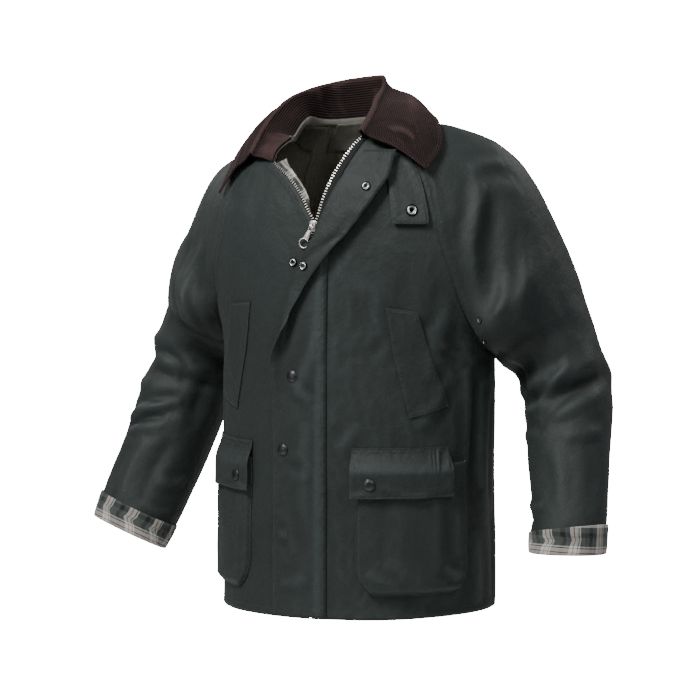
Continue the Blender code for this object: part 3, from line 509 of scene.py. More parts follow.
def ridges(grid, step=2):
    """Between -1 in a valley and 1 on a ridge, and high along the free edges."""
    out = normals(grid)
    wide = np.pad(grid, ((step, step), (step, step), (0, 0)), mode="reflect", reflect_type="odd")
    rows, columns = grid.shape[:2]
    around = (wide[:rows, step:-step] + wide[2 * step:, step:-step]
              + wide[step:-step, :columns] + wide[step:-step, 2 * step:]) / 4
    spacing = np.linalg.norm(grid[rows // 2, columns // 2] - grid[rows // 2 - 1, columns // 2 - 1]) * step
    return np.clip(((grid - around) * out).sum(-1) / (spacing ** 2 * 12), -1, 1)


def plain_mesh(made):
    """The object with its modifiers' result as its own plain mesh."""
    bpy.context.view_layer.update()
    graph = bpy.context.evaluated_depsgraph_get()
    mesh = bpy.data.meshes.new_from_object(made.evaluated_get(graph))
    made.modifiers.clear()
    made.data = mesh
    return made


# %% The sheet maker
def store(mesh, name, values):
    flat = np.ravel(values).astype(np.float32)
    mesh.attributes.new(name, "FLOAT", "POINT").data.foreach_set("value", flat)


def sheet(name, grid, wall, finish, nodes, form=None, wear=0.4, lined=True):
    """Cloth through a grid, for its solids; form is the grid uncreased, and lined colours the inner side."""
    form = grid if form is None else form
    rows, columns = grid.shape[:2]
    index = np.arange(rows * columns).reshape(rows, columns)
    quads = np.stack((index[:-1, :-1], index[:-1, 1:], index[1:, 1:], index[1:, :-1]), -1).reshape(-1, 4)
    mesh = bpy.data.meshes.new(name)
    mesh.from_pydata(grid.reshape(-1, 3).tolist(), [], quads.tolist())
    u, v = cloth_lengths(form)
    mesh.uv_layers.new(name="cloth").uv.foreach_set(
        "vector", np.stack((u, v), -1).reshape(-1, 2)[quads.ravel()].astype(np.float32).ravel())
    edge = np.minimum(np.minimum(u - u[:, :1], u[:, -1:] - u), np.minimum(v, v[-1:] - v))
    # Stored for the finishes: ridges and worn edges, for rubbed wax, and valleys, for painted crease shade.
    store(mesh, "rub_and_crease_shade", np.clip(ridges(grid) + wear * np.exp(-edge / 0.0025), -1, 1))
    store(mesh, "edge", edge)
    bm = bmesh.new()
    bm.from_mesh(mesh)
    bmesh.ops.remove_doubles(bm, verts=bm.verts, dist=0.00002)
    bm.to_mesh(mesh)
    bm.free()
    outer = len(mesh.vertices)
    made = keep(name, mesh)
    thick = made.modifiers.new("wall", "SOLIDIFY")
    thick.thickness, thick.offset, thick.use_even_offset = wall, -1, False
    plain_mesh(made)
    store(made.data, "inner", (np.arange(len(made.data.vertices)) >= outer) * float(lined))
    made.data.shade_smooth()
    made.data.materials.append(finish)
    if nodes:
        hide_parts(nodes)
    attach(made, "garment")


def inset(grid, edge, distance, lift=0.0):
    """Points on a grid a distance inside one of its edges, with their outward directions."""
    out = normals(grid)
    if edge in ("top", "bottom"):
        grid, out = grid.transpose(1, 0, 2), out.transpose(1, 0, 2)
    if edge in ("top", "end"):
        grid, out = grid[:, ::-1], out[:, ::-1]
    places = np.concatenate((np.zeros((len(grid), 1)),
                             np.cumsum(np.linalg.norm(np.diff(grid, axis=1), axis=2), axis=1)), axis=1)
    points, ways = [], []
    for row, way, place in zip(grid, out, places):
        if distance < 0:
            points.append(row[0] + unit(row[0] - row[1]) * -distance)
            ways.append(way[0])
        else:
            points.append([np.interp(distance, place, row[:, axis]) for axis in range(3)])
            ways.append([np.interp(distance, place, way[:, axis]) for axis in range(3)])
    ways = unit(ways)
    return np.array(points) + ways * lift, ways


print("sheet maker ready")

# %% [markdown]
# ## Finishes
#
# Pictures of cloth could be wrapped round each piece, but a picture has a fixed size and shows its repeats.
# Shader nodes work at any distance: noise gives the uneven wax, stripes from the UV map give the corduroy's
# wales and the woven check, and the stored ridge value lightens what is rubbed and, on the waxed cotton,
# paints shade into the valleys. A value that is the same all over, such as sheen, is set on the shader
# itself.

# %% Helpers for shader nodes
def calc(tree, operation, first, second=0.0, third=0.0):
    return add(tree, "ShaderNodeMath", {0: first, 1: second, 2: third}, operation=operation).outputs[0]


def blend(tree, factor, first, second, kind="MIX"):
    made = add(tree, "ShaderNodeMix", {0: factor, 6: first, 7: second}, data_type="RGBA", blend_type=kind)
    return made.outputs[2]


def noise(tree, where, scale, detail=3.0, rough=0.5, distortion=0.0):
    made = add(tree, "ShaderNodeTexNoise", {"Vector": where, "Scale": scale, "Detail": detail,
                                            "Roughness": rough, "Distortion": distortion})
    return made.outputs[0]


def spread_over(tree, value, low, high):
    """The value moved from 0..1 to low..high."""
    return add(tree, "ShaderNodeMapRange", {0: value, 3: low, 4: high}).outputs[0]


def bump(tree, height, distance, strength, before=None):
    inputs = {"Height": height, "Distance": distance, "Strength": strength}
    if before is not None:
        inputs["Normal"] = before
    return add(tree, "ShaderNodeBump", inputs).outputs[0]


def drive(shader, key, value):
    shader.id_data.links.new(value, shader.inputs[key])


def finish(name, rough=0.5, shine=0.5, sheen=0.0, **more):
    """A new finish: its tree, its shader with constant sockets set, and its coordinates."""
    made = bpy.data.materials.new(name)
    made.use_nodes = True
    tree = made.node_tree
    shader = tree.nodes["Principled BSDF"]
    sockets = {"Roughness": rough, "Specular IOR Level": shine, "Sheen Weight": sheen, **more}
    for key, value in sockets.items():
        shader.inputs[key].default_value = value
    space = add(tree, "ShaderNodeTexCoord").outputs["Object"]
    return made, tree, shader, space


def stored(tree, name):
    return add(tree, "ShaderNodeAttribute", attribute_name=name).outputs["Fac"]


def cloth_map(tree):
    """The two lengths of cloth from the UV map, in metres."""
    split = add(tree, "ShaderNodeSeparateXYZ", {0: add(tree, "ShaderNodeUVMap", uv_map="cloth").outputs[0]})
    return split.outputs[0], split.outputs[1]


print("node helpers ready")

# %% [markdown]
# ### Waxed cotton
#
# Wax darkens the cloth and sits unevenly, so large soft patches differ a little in colour and in gloss.
# Each old fold leaves a fine crackle of thin wax. The crackle is a cell pattern whose borders make shallow
# bumps; at this size a painted crackle would look the same only from one side.

# %% Waxed cotton
def shade_of(colour, times):
    return tuple(v * times for v in colour) + (1.0,)


def band(tree, value, middle, width):
    """1 where the value is at the middle, falling to 0 a width away."""
    away = calc(tree, "DIVIDE", calc(tree, "ABSOLUTE", calc(tree, "SUBTRACT", value, middle)), width)
    return calc(tree, "MAXIMUM", calc(tree, "SUBTRACT", 1.0, away), 0.0)


def waxed_cotton(name, outside, inside):
    made, tree, shader, space = finish(name, shine=0.24, sheen=0.03)
    patch = noise(tree, space, 6.0, 4.0, 0.6, 0.4)
    mottle = noise(tree, space, 45.0, 4.0, 0.65, 0.8)
    fine = noise(tree, space, 300.0, 3.0, 0.7)
    colour = blend(tree, spread_over(tree, patch, -0.6, 1.6),
                   shade_of(outside, 0.78), shade_of(outside, 1.25))
    colour = blend(tree, spread_over(tree, mottle, -0.25, 0.75), colour, shade_of(outside, 1.15))
    colour = blend(tree, spread_over(tree, fine, 0.0, 0.35), colour, shade_of(outside, 1.25))
    rub_and_crease_shade, edge = stored(tree, "rub_and_crease_shade"), stored(tree, "edge")
    worn = calc(tree, "MULTIPLY", calc(tree, "MAXIMUM", rub_and_crease_shade, 0.0), 0.6)
    worn = calc(tree, "MULTIPLY", worn, spread_over(tree, mottle, 0.3, 1.5))
    # Painted shade: where the cloth lies in a fold's valley, its colour is darkened towards 0.4 of itself.
    deep = calc(tree, "MULTIPLY", calc(tree, "MAXIMUM", calc(tree, "MULTIPLY", rub_and_crease_shade, -1.0), 0.0), 0.6)
    colour = blend(tree, worn, colour, shade_of(outside, 2.3))
    colour = blend(tree, deep, colour, shade_of(outside, 0.4))
    inner = stored(tree, "inner")
    lining = blend(tree, spread_over(tree, fine, 0.0, 0.6), shade_of(inside, 0.8), shade_of(inside, 1.3))
    drive(shader, "Base Color", blend(tree, inner, colour, lining))
    gloss = calc(tree, "ADD", spread_over(tree, patch, 0.46, 0.64), calc(tree, "MULTIPLY", inner, 0.3))
    gloss = calc(tree, "ADD", gloss, spread_over(tree, mottle, -0.1, 0.1))
    drive(shader, "Roughness", gloss)
    warp = noise(tree, space, 18.0, 2.0)
    bent = add(tree, "ShaderNodeMix", {0: 0.03, 4: space, 5: warp}, data_type="VECTOR").outputs[1]
    cells = add(tree, "ShaderNodeTexVoronoi", {"Vector": bent, "Scale": 52.0},
                feature="DISTANCE_TO_EDGE").outputs[0]
    crackle = add(tree, "ShaderNodeMapRange", {0: cells, 2: 0.14},
                  interpolation_type="SMOOTHSTEP").outputs[0]
    puckers = calc(tree, "MULTIPLY", noise(tree, space, 120.0, 2.0, 0.5), band(tree, edge, 0.005, 0.01))
    groove = calc(tree, "MULTIPLY", band(tree, edge, 0.002, 0.001), -1.0)
    u, v = cloth_map(tree)
    threads = calc(tree, "ADD", calc(tree, "SINE", calc(tree, "MULTIPLY", u, 7800.0)),
                   calc(tree, "SINE", calc(tree, "MULTIPLY", v, 7800.0)))
    normal = bump(tree, noise(tree, space, 34.0, 4.0, 0.6, 0.5), 0.005, 0.3)
    normal = bump(tree, puckers, 0.004, 0.45, normal)
    normal = bump(tree, groove, 0.0005, 0.6, normal)
    normal = bump(tree, crackle, 0.0006, 0.18, normal)
    drive(shader, "Normal", bump(tree, threads, 0.00008, 0.35, normal))
    return made


wax = waxed_cotton("waxed_cotton_finish", (0.018, 0.0232, 0.0221), (0.2, 0.188, 0.142))
print("made", wax.name)

# %% [markdown]
# ### Corduroy
#
# Corduroy is cut pile in rows, the wales. The row's top catches light and its groove hardly any, and the
# pile glows at its edges. The wales are a sine of the length of cloth from the neck seam, so they follow
# the collar round; ribs in the mesh would need millions of faces.

# %% Corduroy
WALE = 0.0038           # from one wale to the next


def corduroy():
    made, tree, shader, space = finish("corduroy_finish", 0.9, 0.18, 0.07, **{
        "Sheen Roughness": 0.4, "Sheen Tint": (0.8, 0.45, 0.43, 1)})
    _, v = cloth_map(tree)
    waver = calc(tree, "MULTIPLY", noise(tree, space, 60.0, 2.0), 0.0012)
    place = calc(tree, "MULTIPLY", calc(tree, "ADD", v, waver), 2 * math.pi / WALE)
    wale = calc(tree, "MULTIPLY_ADD", calc(tree, "SINE", place), 0.5, 0.5)
    patch = noise(tree, space, 22.0, 4.0, 0.65)
    nap = noise(tree, space, 420.0, 3.0, 0.8)
    top = blend(tree, spread_over(tree, patch, -0.5, 1.5),
                (0.0075, 0.0038, 0.0038, 1), (0.024, 0.0122, 0.012, 1))
    top = blend(tree, spread_over(tree, nap, 0.0, 0.45), top, (0.05, 0.028, 0.027, 1))
    # Painted shade: the groove between two wales gets a darker colour than the wale's top.
    colour = blend(tree, wale, (0.003, 0.0014, 0.0014, 1), top)
    # Only ridges and worn edges lighten the corduroy, for rubbed pile; the crease shade is not used here.
    rub_and_crease_shade = calc(tree, "MULTIPLY", calc(tree, "MAXIMUM", stored(tree, "rub_and_crease_shade"), 0.0), 0.4)
    drive(shader, "Base Color", blend(tree, rub_and_crease_shade, colour, (0.1, 0.058, 0.054, 1)))
    relief_1 = bump(tree, wale, 0.0011, 1.0)
    drive(shader, "Normal", bump(tree, nap, 0.0004, 0.3, relief_1))
    return made


cord = corduroy()
print("made", cord.name, "with a wale every", WALE * 1000, "mm")

# %% [markdown]
# ### Check lining
#
# A woven check is two sets of coloured threads, so the pattern is made as it is woven: one row of stripes
# read across, the same row read along, and the two mixed half and half. It is a plain check with wide
# grey-green bars and single thin lines, laid out on its own repeat.

# %% Check lining
CHECK_REPEAT = 0.044
CREAM, SAGE = (0.62, 0.6, 0.55, 1), (0.068, 0.078, 0.072, 1)
CHARCOAL, BRICK = (0.012, 0.014, 0.014, 1), (0.26, 0.045, 0.04, 1)
CHECK_STRIPES = (
    # where the stripe starts in the repeat, colour
    (0.00, SAGE),
    (0.16, CHARCOAL),
    (0.32, SAGE),
    (0.5, CREAM),
    (0.62, BRICK),
    (0.65, CREAM),
    (0.78, CHARCOAL),
    (0.81, CREAM),
    (0.86, SAGE),
)


def stripes(tree, length):
    part = calc(tree, "FRACT", calc(tree, "DIVIDE", length, CHECK_REPEAT))
    ramp = add(tree, "ShaderNodeValToRGB", {0: part})
    ramp.color_ramp.interpolation = "CONSTANT"
    while len(ramp.color_ramp.elements) < len(CHECK_STRIPES):
        ramp.color_ramp.elements.new(0.5)
    for stop, (place, colour) in zip(ramp.color_ramp.elements, CHECK_STRIPES):
        stop.position = place
        stop.color = colour
    return ramp.outputs[0]


def check_lining(name, light):
    """The check; light sets how far soil darkens it in patches, and a low light also paints in shade."""
    made, tree, shader, space = finish(name, 0.88, 0.2, 0.15)
    u, v = cloth_map(tree)
    u = calc(tree, "ADD", u, calc(tree, "MULTIPLY", noise(tree, space, 40.0, 2.0), 0.0015))
    twill = calc(tree, "SINE", calc(tree, "MULTIPLY", calc(tree, "ADD", u, v), 5200.0))
    woven = blend(tree, calc(tree, "MULTIPLY_ADD", twill, 0.12, 0.5), stripes(tree, u), stripes(tree, v))
    soil = noise(tree, space, 30.0, 4.0, 0.6)
    colour = blend(tree, spread_over(tree, soil, -0.2, 0.7), woven,
                   (light, light, light * 0.96, 1), "MULTIPLY")
    drive(shader, "Base Color", colour)
    fuzz = noise(tree, space, 500.0, 3.0)
    relief_1 = bump(tree, twill, 0.0001, 0.5)
    drive(shader, "Normal", bump(tree, fuzz, 0.0004, 0.25, relief_1))
    return made


check = check_lining("check_lining_finish", 0.25)
# The strip beside the zip gets a darker copy of the check: painted shade, for the shade it lies in inside
# the opening.
strip_check_painted_shade = check_lining("check_strip_painted_shade_finish", 0.08)
print("made", check.name, "with", len(CHECK_STRIPES), "stripes in", CHECK_REPEAT * 1000, "mm")

# %% [markdown]
# ### Facing, zip tape, thread and metal
#
# The neck facing is a strong plain cotton with uneven threads. The tape is a herringbone, which is a twill
# that turns back, so its stripes use the distance from the nearest turn. Metal parts are one shader each:
# pale worn metal for the zip and darker metal for the studs, with scratches as fine stretched noise.

# %% Facing and tape
def facing_cotton():
    made, tree, shader, space = finish("facing_finish", 0.9, 0.2, 0.1)
    u, v = cloth_map(tree)
    slub = noise(tree, space, 90.0, 4.0, 0.7)
    threads = calc(tree, "ADD", calc(tree, "SINE", calc(tree, "MULTIPLY", u, 6200.0)),
                   calc(tree, "SINE", calc(tree, "MULTIPLY", v, 6200.0)))
    colour = blend(tree, spread_over(tree, slub, -0.3, 1.3),
                   (0.085, 0.086, 0.071, 1), (0.16, 0.158, 0.134, 1))
    drive(shader, "Base Color", colour)
    relief_1 = bump(tree, threads, 0.0001, 0.5)
    drive(shader, "Normal", bump(tree, slub, 0.0008, 0.3, relief_1))
    return made


def zip_tape_finish():
    made, tree, shader, space = finish("zip_tape_finish", 0.8, 0.25)
    u, v = cloth_map(tree)
    turned = calc(tree, "PINGPONG", u, 0.0022)
    rib = calc(tree, "SINE", calc(tree, "MULTIPLY", calc(tree, "ADD", turned, v), 4600.0))
    lint = noise(tree, space, 300.0, 3.0)
    dark = blend(tree, calc(tree, "MULTIPLY_ADD", rib, 0.5, 0.5), (0.005, 0.006, 0.006, 1),
                 (0.013, 0.014, 0.014, 1))
    colour = blend(tree, spread_over(tree, lint, 0.0, 0.3), dark, (0.025, 0.026, 0.025, 1))
    drive(shader, "Base Color", colour)
    drive(shader, "Normal", bump(tree, rib, 0.00015, 0.6))
    return made


facing, tape = facing_cotton(), zip_tape_finish()
print("made", facing.name, "and", tape.name)

# %% Thread and metals
def sewing_thread():
    made, tree, shader, space = finish("thread_finish", 0.7, 0.3, 0.2)
    ply = noise(tree, space, 900.0, 2.0)
    colour = blend(tree, ply, (0.012, 0.014, 0.013, 1), (0.05, 0.056, 0.052, 1))
    drive(shader, "Base Color", colour)
    drive(shader, "Normal", bump(tree, ply, 0.0002, 0.5))
    return made


RING_PART = (0.4, 0.76)     # the ring of a socket that keeps the metal's colour, from and to, as parts of its radius


def worn_metal(name, colour, dull, rough, metal_ring=None):
    """Metal with tarnish; if metal_ring gives two radii, a turned piece keeps the metal's colour only
    between them and is black elsewhere.
    """
    made, tree, shader, space = finish(name, Metallic=1.0)
    tarnish = noise(tree, space, 320.0, 5.0, 0.7, 0.6)
    marks = noise(tree, add(tree, "ShaderNodeMapping", {0: space, "Scale": (3.0, 3.0, 0.25)}).outputs[0],
                  1600.0, 2.0)
    shade = add(tree, "ShaderNodeMapRange", {0: tarnish, 1: 0.35, 2: 0.75, 4: 0.8}).outputs[0]
    colour = blend(tree, shade, colour, dull)
    if metal_ring:
        radius = stored(tree, "radius")
        inside = calc(tree, "MULTIPLY", calc(tree, "GREATER_THAN", radius, metal_ring[0]),
                      calc(tree, "LESS_THAN", radius, metal_ring[1]))
        colour = blend(tree, inside, (0.01, 0.011, 0.011, 1), colour)
    drive(shader, "Base Color", colour)
    drive(shader, "Roughness", spread_over(tree, tarnish, rough - 0.12, rough + 0.18))
    drive(shader, "Normal", bump(tree, marks, 0.00005, 0.25))
    return made


thread = sewing_thread()
zip_metal = worn_metal("zip_metal_finish", (0.95, 0.93, 0.88, 1), (0.66, 0.62, 0.54, 1), 0.36)
stud_metal = worn_metal("stud_metal_finish", (0.085, 0.088, 0.09, 1), (0.03, 0.03, 0.03, 1), 0.36)
socket_metal = worn_metal("socket_metal_finish", (0.7, 0.71, 0.71, 1), (0.3, 0.3, 0.3, 1), 0.22,
                          RING_PART)
print("made", thread.name, zip_metal.name, stud_metal.name, socket_metal.name)

# %% [markdown]
# ## Front and back panels
#
# A panel could be one cloth plane wrapped on the body. A tailor's panel has four different edges instead:
# the zip, the neck, the raglan seam with the side seam, and the hem. So the rows of each grid start on one
# edge and end on the other, and everything between is spread evenly. The solids use the same rows, only
# fewer of them.

# %% Rows of the panels
SEAM_GAP = 0.00012      # half of the space between two sewn pieces
SHOULDER = (
    # station, x, y, z, seam_height
    (1.0, 0.348, 0.062, -0.29, -0.345),
    (1.15, 0.322, 0.061, -0.223, -0.303),
    (1.32, 0.296, 0.055, -0.152, -0.24),
    (1.5, 0.262, 0.046, -0.082, -0.173),
    (1.64, 0.223, 0.038, -0.037, -0.122),
    (1.76, 0.177, 0.025, -0.012, -0.08),
    (1.88, 0.13, 0.01, 0.002, -0.041),
    (2.0, 0.083, 0.0, 0.006, -0.002),
)
CAP_STATIONS = (1.03, 1.08, 1.15, 1.25, 1.37, 1.5, 1.64, 1.76, 1.86, 1.94, 2.00)
RIGHT_NECK_ROWS = (236.0, 231.0, 226.0)
PANEL_ROWS, FRONT_COLUMNS, BACK_COLUMNS = 176, 84, 150

side_knots = np.concatenate((np.linspace(HEM, UNDERARM, 9), smooth(SHOULDER, CAP_STATIONS)[:, 3]))
panel_rows = np.interp(np.linspace(HEM, NECK_END, PANEL_ROWS), side_knots, np.arange(len(side_knots)))


def zip_knots(right):
    """Heights of the zip's edge at the solids' rows."""
    closed = np.concatenate((np.linspace(HEM, -0.27, 9), (-0.21, -0.165)))
    top, rows = (RIGHT_TOP, 6) if right else (LEFT_TOP, 9)
    return np.concatenate((closed, np.linspace(ZIP_STOP, top, rows)))


def zip_edge(height, right):
    return angle_at(smooth(OPENING, height)[..., 1 if right else 0] + CHAIN_HALF, height)


def across_parts(count, edge):
    return np.concatenate(([0.0, edge * 0.3], np.linspace(edge, 1 - edge, count), [1 - edge * 0.3, 1.0]))


def seam_gap(height):
    return np.degrees(SEAM_GAP / smooth(BODY_RINGS, height)[..., 0])


def start_of_rows(right):
    """Angle and height where each row starts: along the zip, and on the right then along the neck."""
    knots = zip_knots(right)
    height = np.interp(panel_rows, np.arange(len(knots)), knots)
    angle = zip_edge(height, right)
    if right:
        last = len(knots) - 1
        neck = np.concatenate(([180 - angle[panel_rows <= last][-1]], RIGHT_NECK_ROWS))
        along = np.interp(panel_rows, np.arange(last, last + 4), neck)
        on_neck = panel_rows > last
        angle = np.where(on_neck, 180 - along, angle)
        height = np.where(on_neck, neck_height(along), height)
    return angle, height


print("panel rows:", len(panel_rows))

# %% Grids of the panels
def front_places(right):
    """Angle and height of every point of a front panel, as for the wearer's left."""
    start_angle, start_height = start_of_rows(right)
    side = np.interp(panel_rows, np.arange(len(side_knots)), side_knots)
    part = ((side - HEM) / (NECK_END - HEM))[:, None]
    across = across_parts(FRONT_COLUMNS, 0.006)[None, :]
    top_angle, top_height = start_angle[-1], start_height[-1]
    neck_angle = top_angle + (seam_angle(NECK_END, False) - top_angle) * across
    neck = neck_height(180 - neck_angle if right else neck_angle)
    dip = neck - (top_height + (NECK_END - top_height) * across)
    height = start_height[:, None] + (side - start_height)[:, None] * across + dip * part ** 3
    outer = seam_angle(height, False) - seam_gap(height)
    return start_angle[:, None] + (outer - start_angle[:, None]) * across, height


def front_grid(right, form=False):
    angle, height = front_places(right)
    if right:
        angle, height = 180 - angle[:, ::-1], height[:, ::-1]
    return body_ring(angle, height) if form else body(angle, height)


def back_grid(form=False, parts=None, across=None, lift=0.0):
    side = np.interp(panel_rows, np.arange(len(side_knots)), side_knots)
    part = ((side - HEM) / (NECK_END - HEM) if parts is None else np.asarray(parts))[:, None]
    across = (across_parts(BACK_COLUMNS, 0.004) if across is None else across)[None, :]
    first = seam_angle(NECK_END, True)
    neck_angle = first + (180 - 2 * first) * across
    height = HEM + (neck_height(neck_angle) - HEM) * part
    start = seam_angle(height, True) + seam_gap(height)
    angle = start + (180 - 2 * start) * across
    return body_ring(angle, height) if form else body(angle, height, lift)


left_front, right_front, back_panel = front_grid(False), front_grid(True), back_grid()
sheet("front_left_cloth", left_front, CLOTH, wax, "front_left",
      front_grid(False, True))
sheet("front_right_cloth", right_front, CLOTH, wax, "front_right",
      front_grid(True, True))
sheet("back_cloth", back_panel, CLOTH, wax, "back", back_grid(True))

# %% [markdown]
# ## Sleeves
#
# A raglan sleeve is a tube that opens at the underarm and runs on to the neck between two slanting seams.
# It is swept along stations: each has a point under the arm or on each seam, a point on top, and two
# rounded lines between them. A plain bent cylinder would miss how the cap lies on the shoulder. Its creases
# gather where the elbow bends, so most rows of the tables are there, and the two sleeves have their own.

# %% Sizes of the sleeves
SLEEVE_RINGS = (
    # station, under_x, under_z, over_x, over_z, middle_y, depth, lean, skew
    (0.0, 0.3095, -0.6155, 0.4175, -0.6115, -0.054, 0.052, 0.1, 0.0),
    (0.16, 0.299, -0.579, 0.411, -0.556, -0.028, 0.058, 0.12, 0.003),
    (0.34, 0.283, -0.527, 0.403, -0.507, 0.002, 0.063, 0.13, 0.006),
    (0.52, 0.269, -0.478, 0.396, -0.462, 0.026, 0.068, 0.11, 0.008),
    (0.7, 0.256, -0.428, 0.388, -0.411, 0.048, 0.074, 0.07, 0.008),
    (0.82, 0.244, -0.394, 0.377, -0.366, 0.06, 0.078, 0.04, 0.006),
    (0.92, 0.226, -0.368, 0.363, -0.328, 0.062, 0.083, 0.02, 0.003),
    (1.0, 0.209, -0.346, 0.348, -0.29, 0.062, 0.088, 0.0, 0.0),
)
UNDERARM_HALF = 0.0755  # half of the sleeve's width where it opens at the underarm
CAP_FULLNESS = 1.05
RIGHT_SLEEVE_DROP, DROP_STATION = 0.02, 0.9
# How the end of the right sleeve differs: lower under the arm, higher on top, further out, tilted
RIGHT_END = {"under": -0.0215, "over": 0.014, "out": 0.006, "lean": 0.24, "reach": 0.45}
RIGHT_SHOULDER_DROP, RIGHT_SHOULDER_X, RIGHT_SHOULDER_REACH = 0.024, 0.205, 0.048
RIGHT_NECK_DROP = 0.01
SLEEVE_FOLDS = (
    # turn and station at two places in hundredths, width and push in millimetres
    (10, 80, 46, 90, 14, 6),
    (6, 75, 50, 82, 11, -10),
    (2, 86, 30, 100, 16, -8),
    (92, 84, 60, 92, 16, -8),
    (90, 78, 56, 84, 14, 5),
    (10, 62, 34, 66, 14, -4),
    (86, 60, 62, 66, 14, -5),
)
LEFT_CREASES = (
    # turn and station at three places, width, push
    (12, 71, 25, 77, 36, 91, 6.5, 4.8),
    (20, 66, 33, 80, 47, 82, 8.5, -6),
    (11, 106, 7, 84, 20, 75, 11, -4.6),
    (24, 95, 20, 90, 21, 84, 12, 2),
    (2, 56, 10, 60, 19, 59, 8, 2.2),
    (30, 56, 38, 60, 47, 57, 10, 2.6),
    (2, 26, 9, 21, 19, 23.5, 5, 2.8),
    (1, 20, 8, 15, 15, 16, 4.5, -2.6),
    (3, 12, 7, 10, 13, 11.5, 4.5, 2.2),
    (26, 52, 30, 36, 27, 20, 15, 2.6),
    (40, 54, 43, 38, 41, 18, 15, -2.4),
    (25, 164, 5, 152, 3, 120, 12, 6),
    (30, 156, 13, 144, 11, 120, 14, -4.8),
    (24, 171, 32, 167, 40, 160, 8, 3.2),
    (28, 164, 36, 160, 42, 153, 9, -2.6),
    (24, 106, 30, 120, 28, 138, 15, 3.4),
    (42, 96, 40, 108, 43, 122, 13, -2.6),
    (72, 106, 66, 118, 70, 134, 13, 4.2),
    (84, 108, 80, 122, 84, 140, 13, -4.2),
    (93, 110, 90, 126, 95, 144, 11, 4.4),
    (60, 64, 74, 69, 88, 62, 8, 4.2),
    (58, 76, 72, 73, 86, 78, 8.5, -4.6),
    (68, 88, 80, 85, 92, 89, 9, 3.6),
    (70, 50, 80, 52, 92, 47, 9, 2.6),
    (66, 38, 72, 26, 69, 16, 14, -2.6),
    (80, 32, 88, 27, 96, 28, 6.5, 2.8),
)
RIGHT_CREASES = (
    # turn and station at three places, width, push
    (42, 83, 29, 91.5, 19, 81, 8, -6.6),
    (40, 78, 28, 83, 20, 76, 8, 3.6),
    (40, 89, 30, 96, 20, 91, 11, 4),
    (42, 51, 30, 62, 17, 65, 7, 5),
    (42, 48, 30, 57, 21, 56.5, 7.5, -5.6),
    (46, 70, 40, 72, 34, 70, 8, 2.6),
    (10, 82, 13, 68, 10, 52, 13, -4),
    (16, 46, 20, 32, 17, 15, 12, -3.4),
    (26, 44, 29, 28, 26, 10, 13, 3.2),
    (34, 38, 37, 26, 35, 12, 12, -2.2),
    (3, 30, 8, 25, 15, 27, 6, 2.6),
    (4, 16, 10, 13, 17, 15, 5, 2.2),
    (10, 106, 16, 122, 12, 144, 13, 5.2),
    (21, 102, 26, 118, 23, 138, 13, -4.2),
    (34, 100, 37, 114, 35, 130, 14, 3.4),
    (24, 156, 30, 164, 38, 162, 11, -2.6),
    (44, 96, 42, 106, 45, 116, 12, 2.8),
    (70, 108, 64, 120, 68, 136, 13, 4.4),
    (84, 106, 79, 120, 83, 138, 13, -4.2),
    (92, 108, 89, 124, 94, 143, 11, 4.2),
    (58, 68, 73, 72, 88, 65, 8, 4.6),
    (62, 57, 76, 55, 90, 58, 8.5, -4.2),
    (64, 86, 78, 83, 90, 88, 9, 3.8),
    (66, 43, 76, 45, 88, 40, 9, 2.8),
    (70, 32, 76, 22, 73, 13, 13, -2.4),
)
TURN_LENGTH, STATION_LENGTH = 0.46, 0.3     # metres of cloth to a turn round and to a station along
SLEEVE_COLUMNS = 112
sleeve_turns = across_parts(SLEEVE_COLUMNS, 0.005)
sleeve_stations = np.concatenate((np.linspace(0, 1, 76), np.linspace(1, 2, 84)[1:]))
sleeve_folds, *sleeve_creases = (in_metres(rows, TURN_LENGTH / 100, STATION_LENGTH / 100)
                                 for rows in (SLEEVE_FOLDS, LEFT_CREASES, RIGHT_CREASES))
print("creases on the sleeves:", len(LEFT_CREASES), len(RIGHT_CREASES))

# %% Sections of a sleeve
def arc(start, leave, end, arrive, fullness, parts):
    """Points on the rounded line that leaves one point and arrives at another."""
    chord = np.linalg.norm(end - start)
    turn = math.acos(min(max(float(np.dot(leave, arrive)), -1.0), 0.98))
    reach = fullness * 4 / 3 * math.tan(turn / 4) * chord / (2 * math.sin(turn / 2))
    first, second = start + leave * reach, end - arrive * reach
    parts = np.asarray(parts)[:, None]
    rest = 1 - parts
    return (rest ** 3 * start + 3 * rest * rest * parts * first
            + 3 * rest * parts * parts * second + parts ** 3 * end)


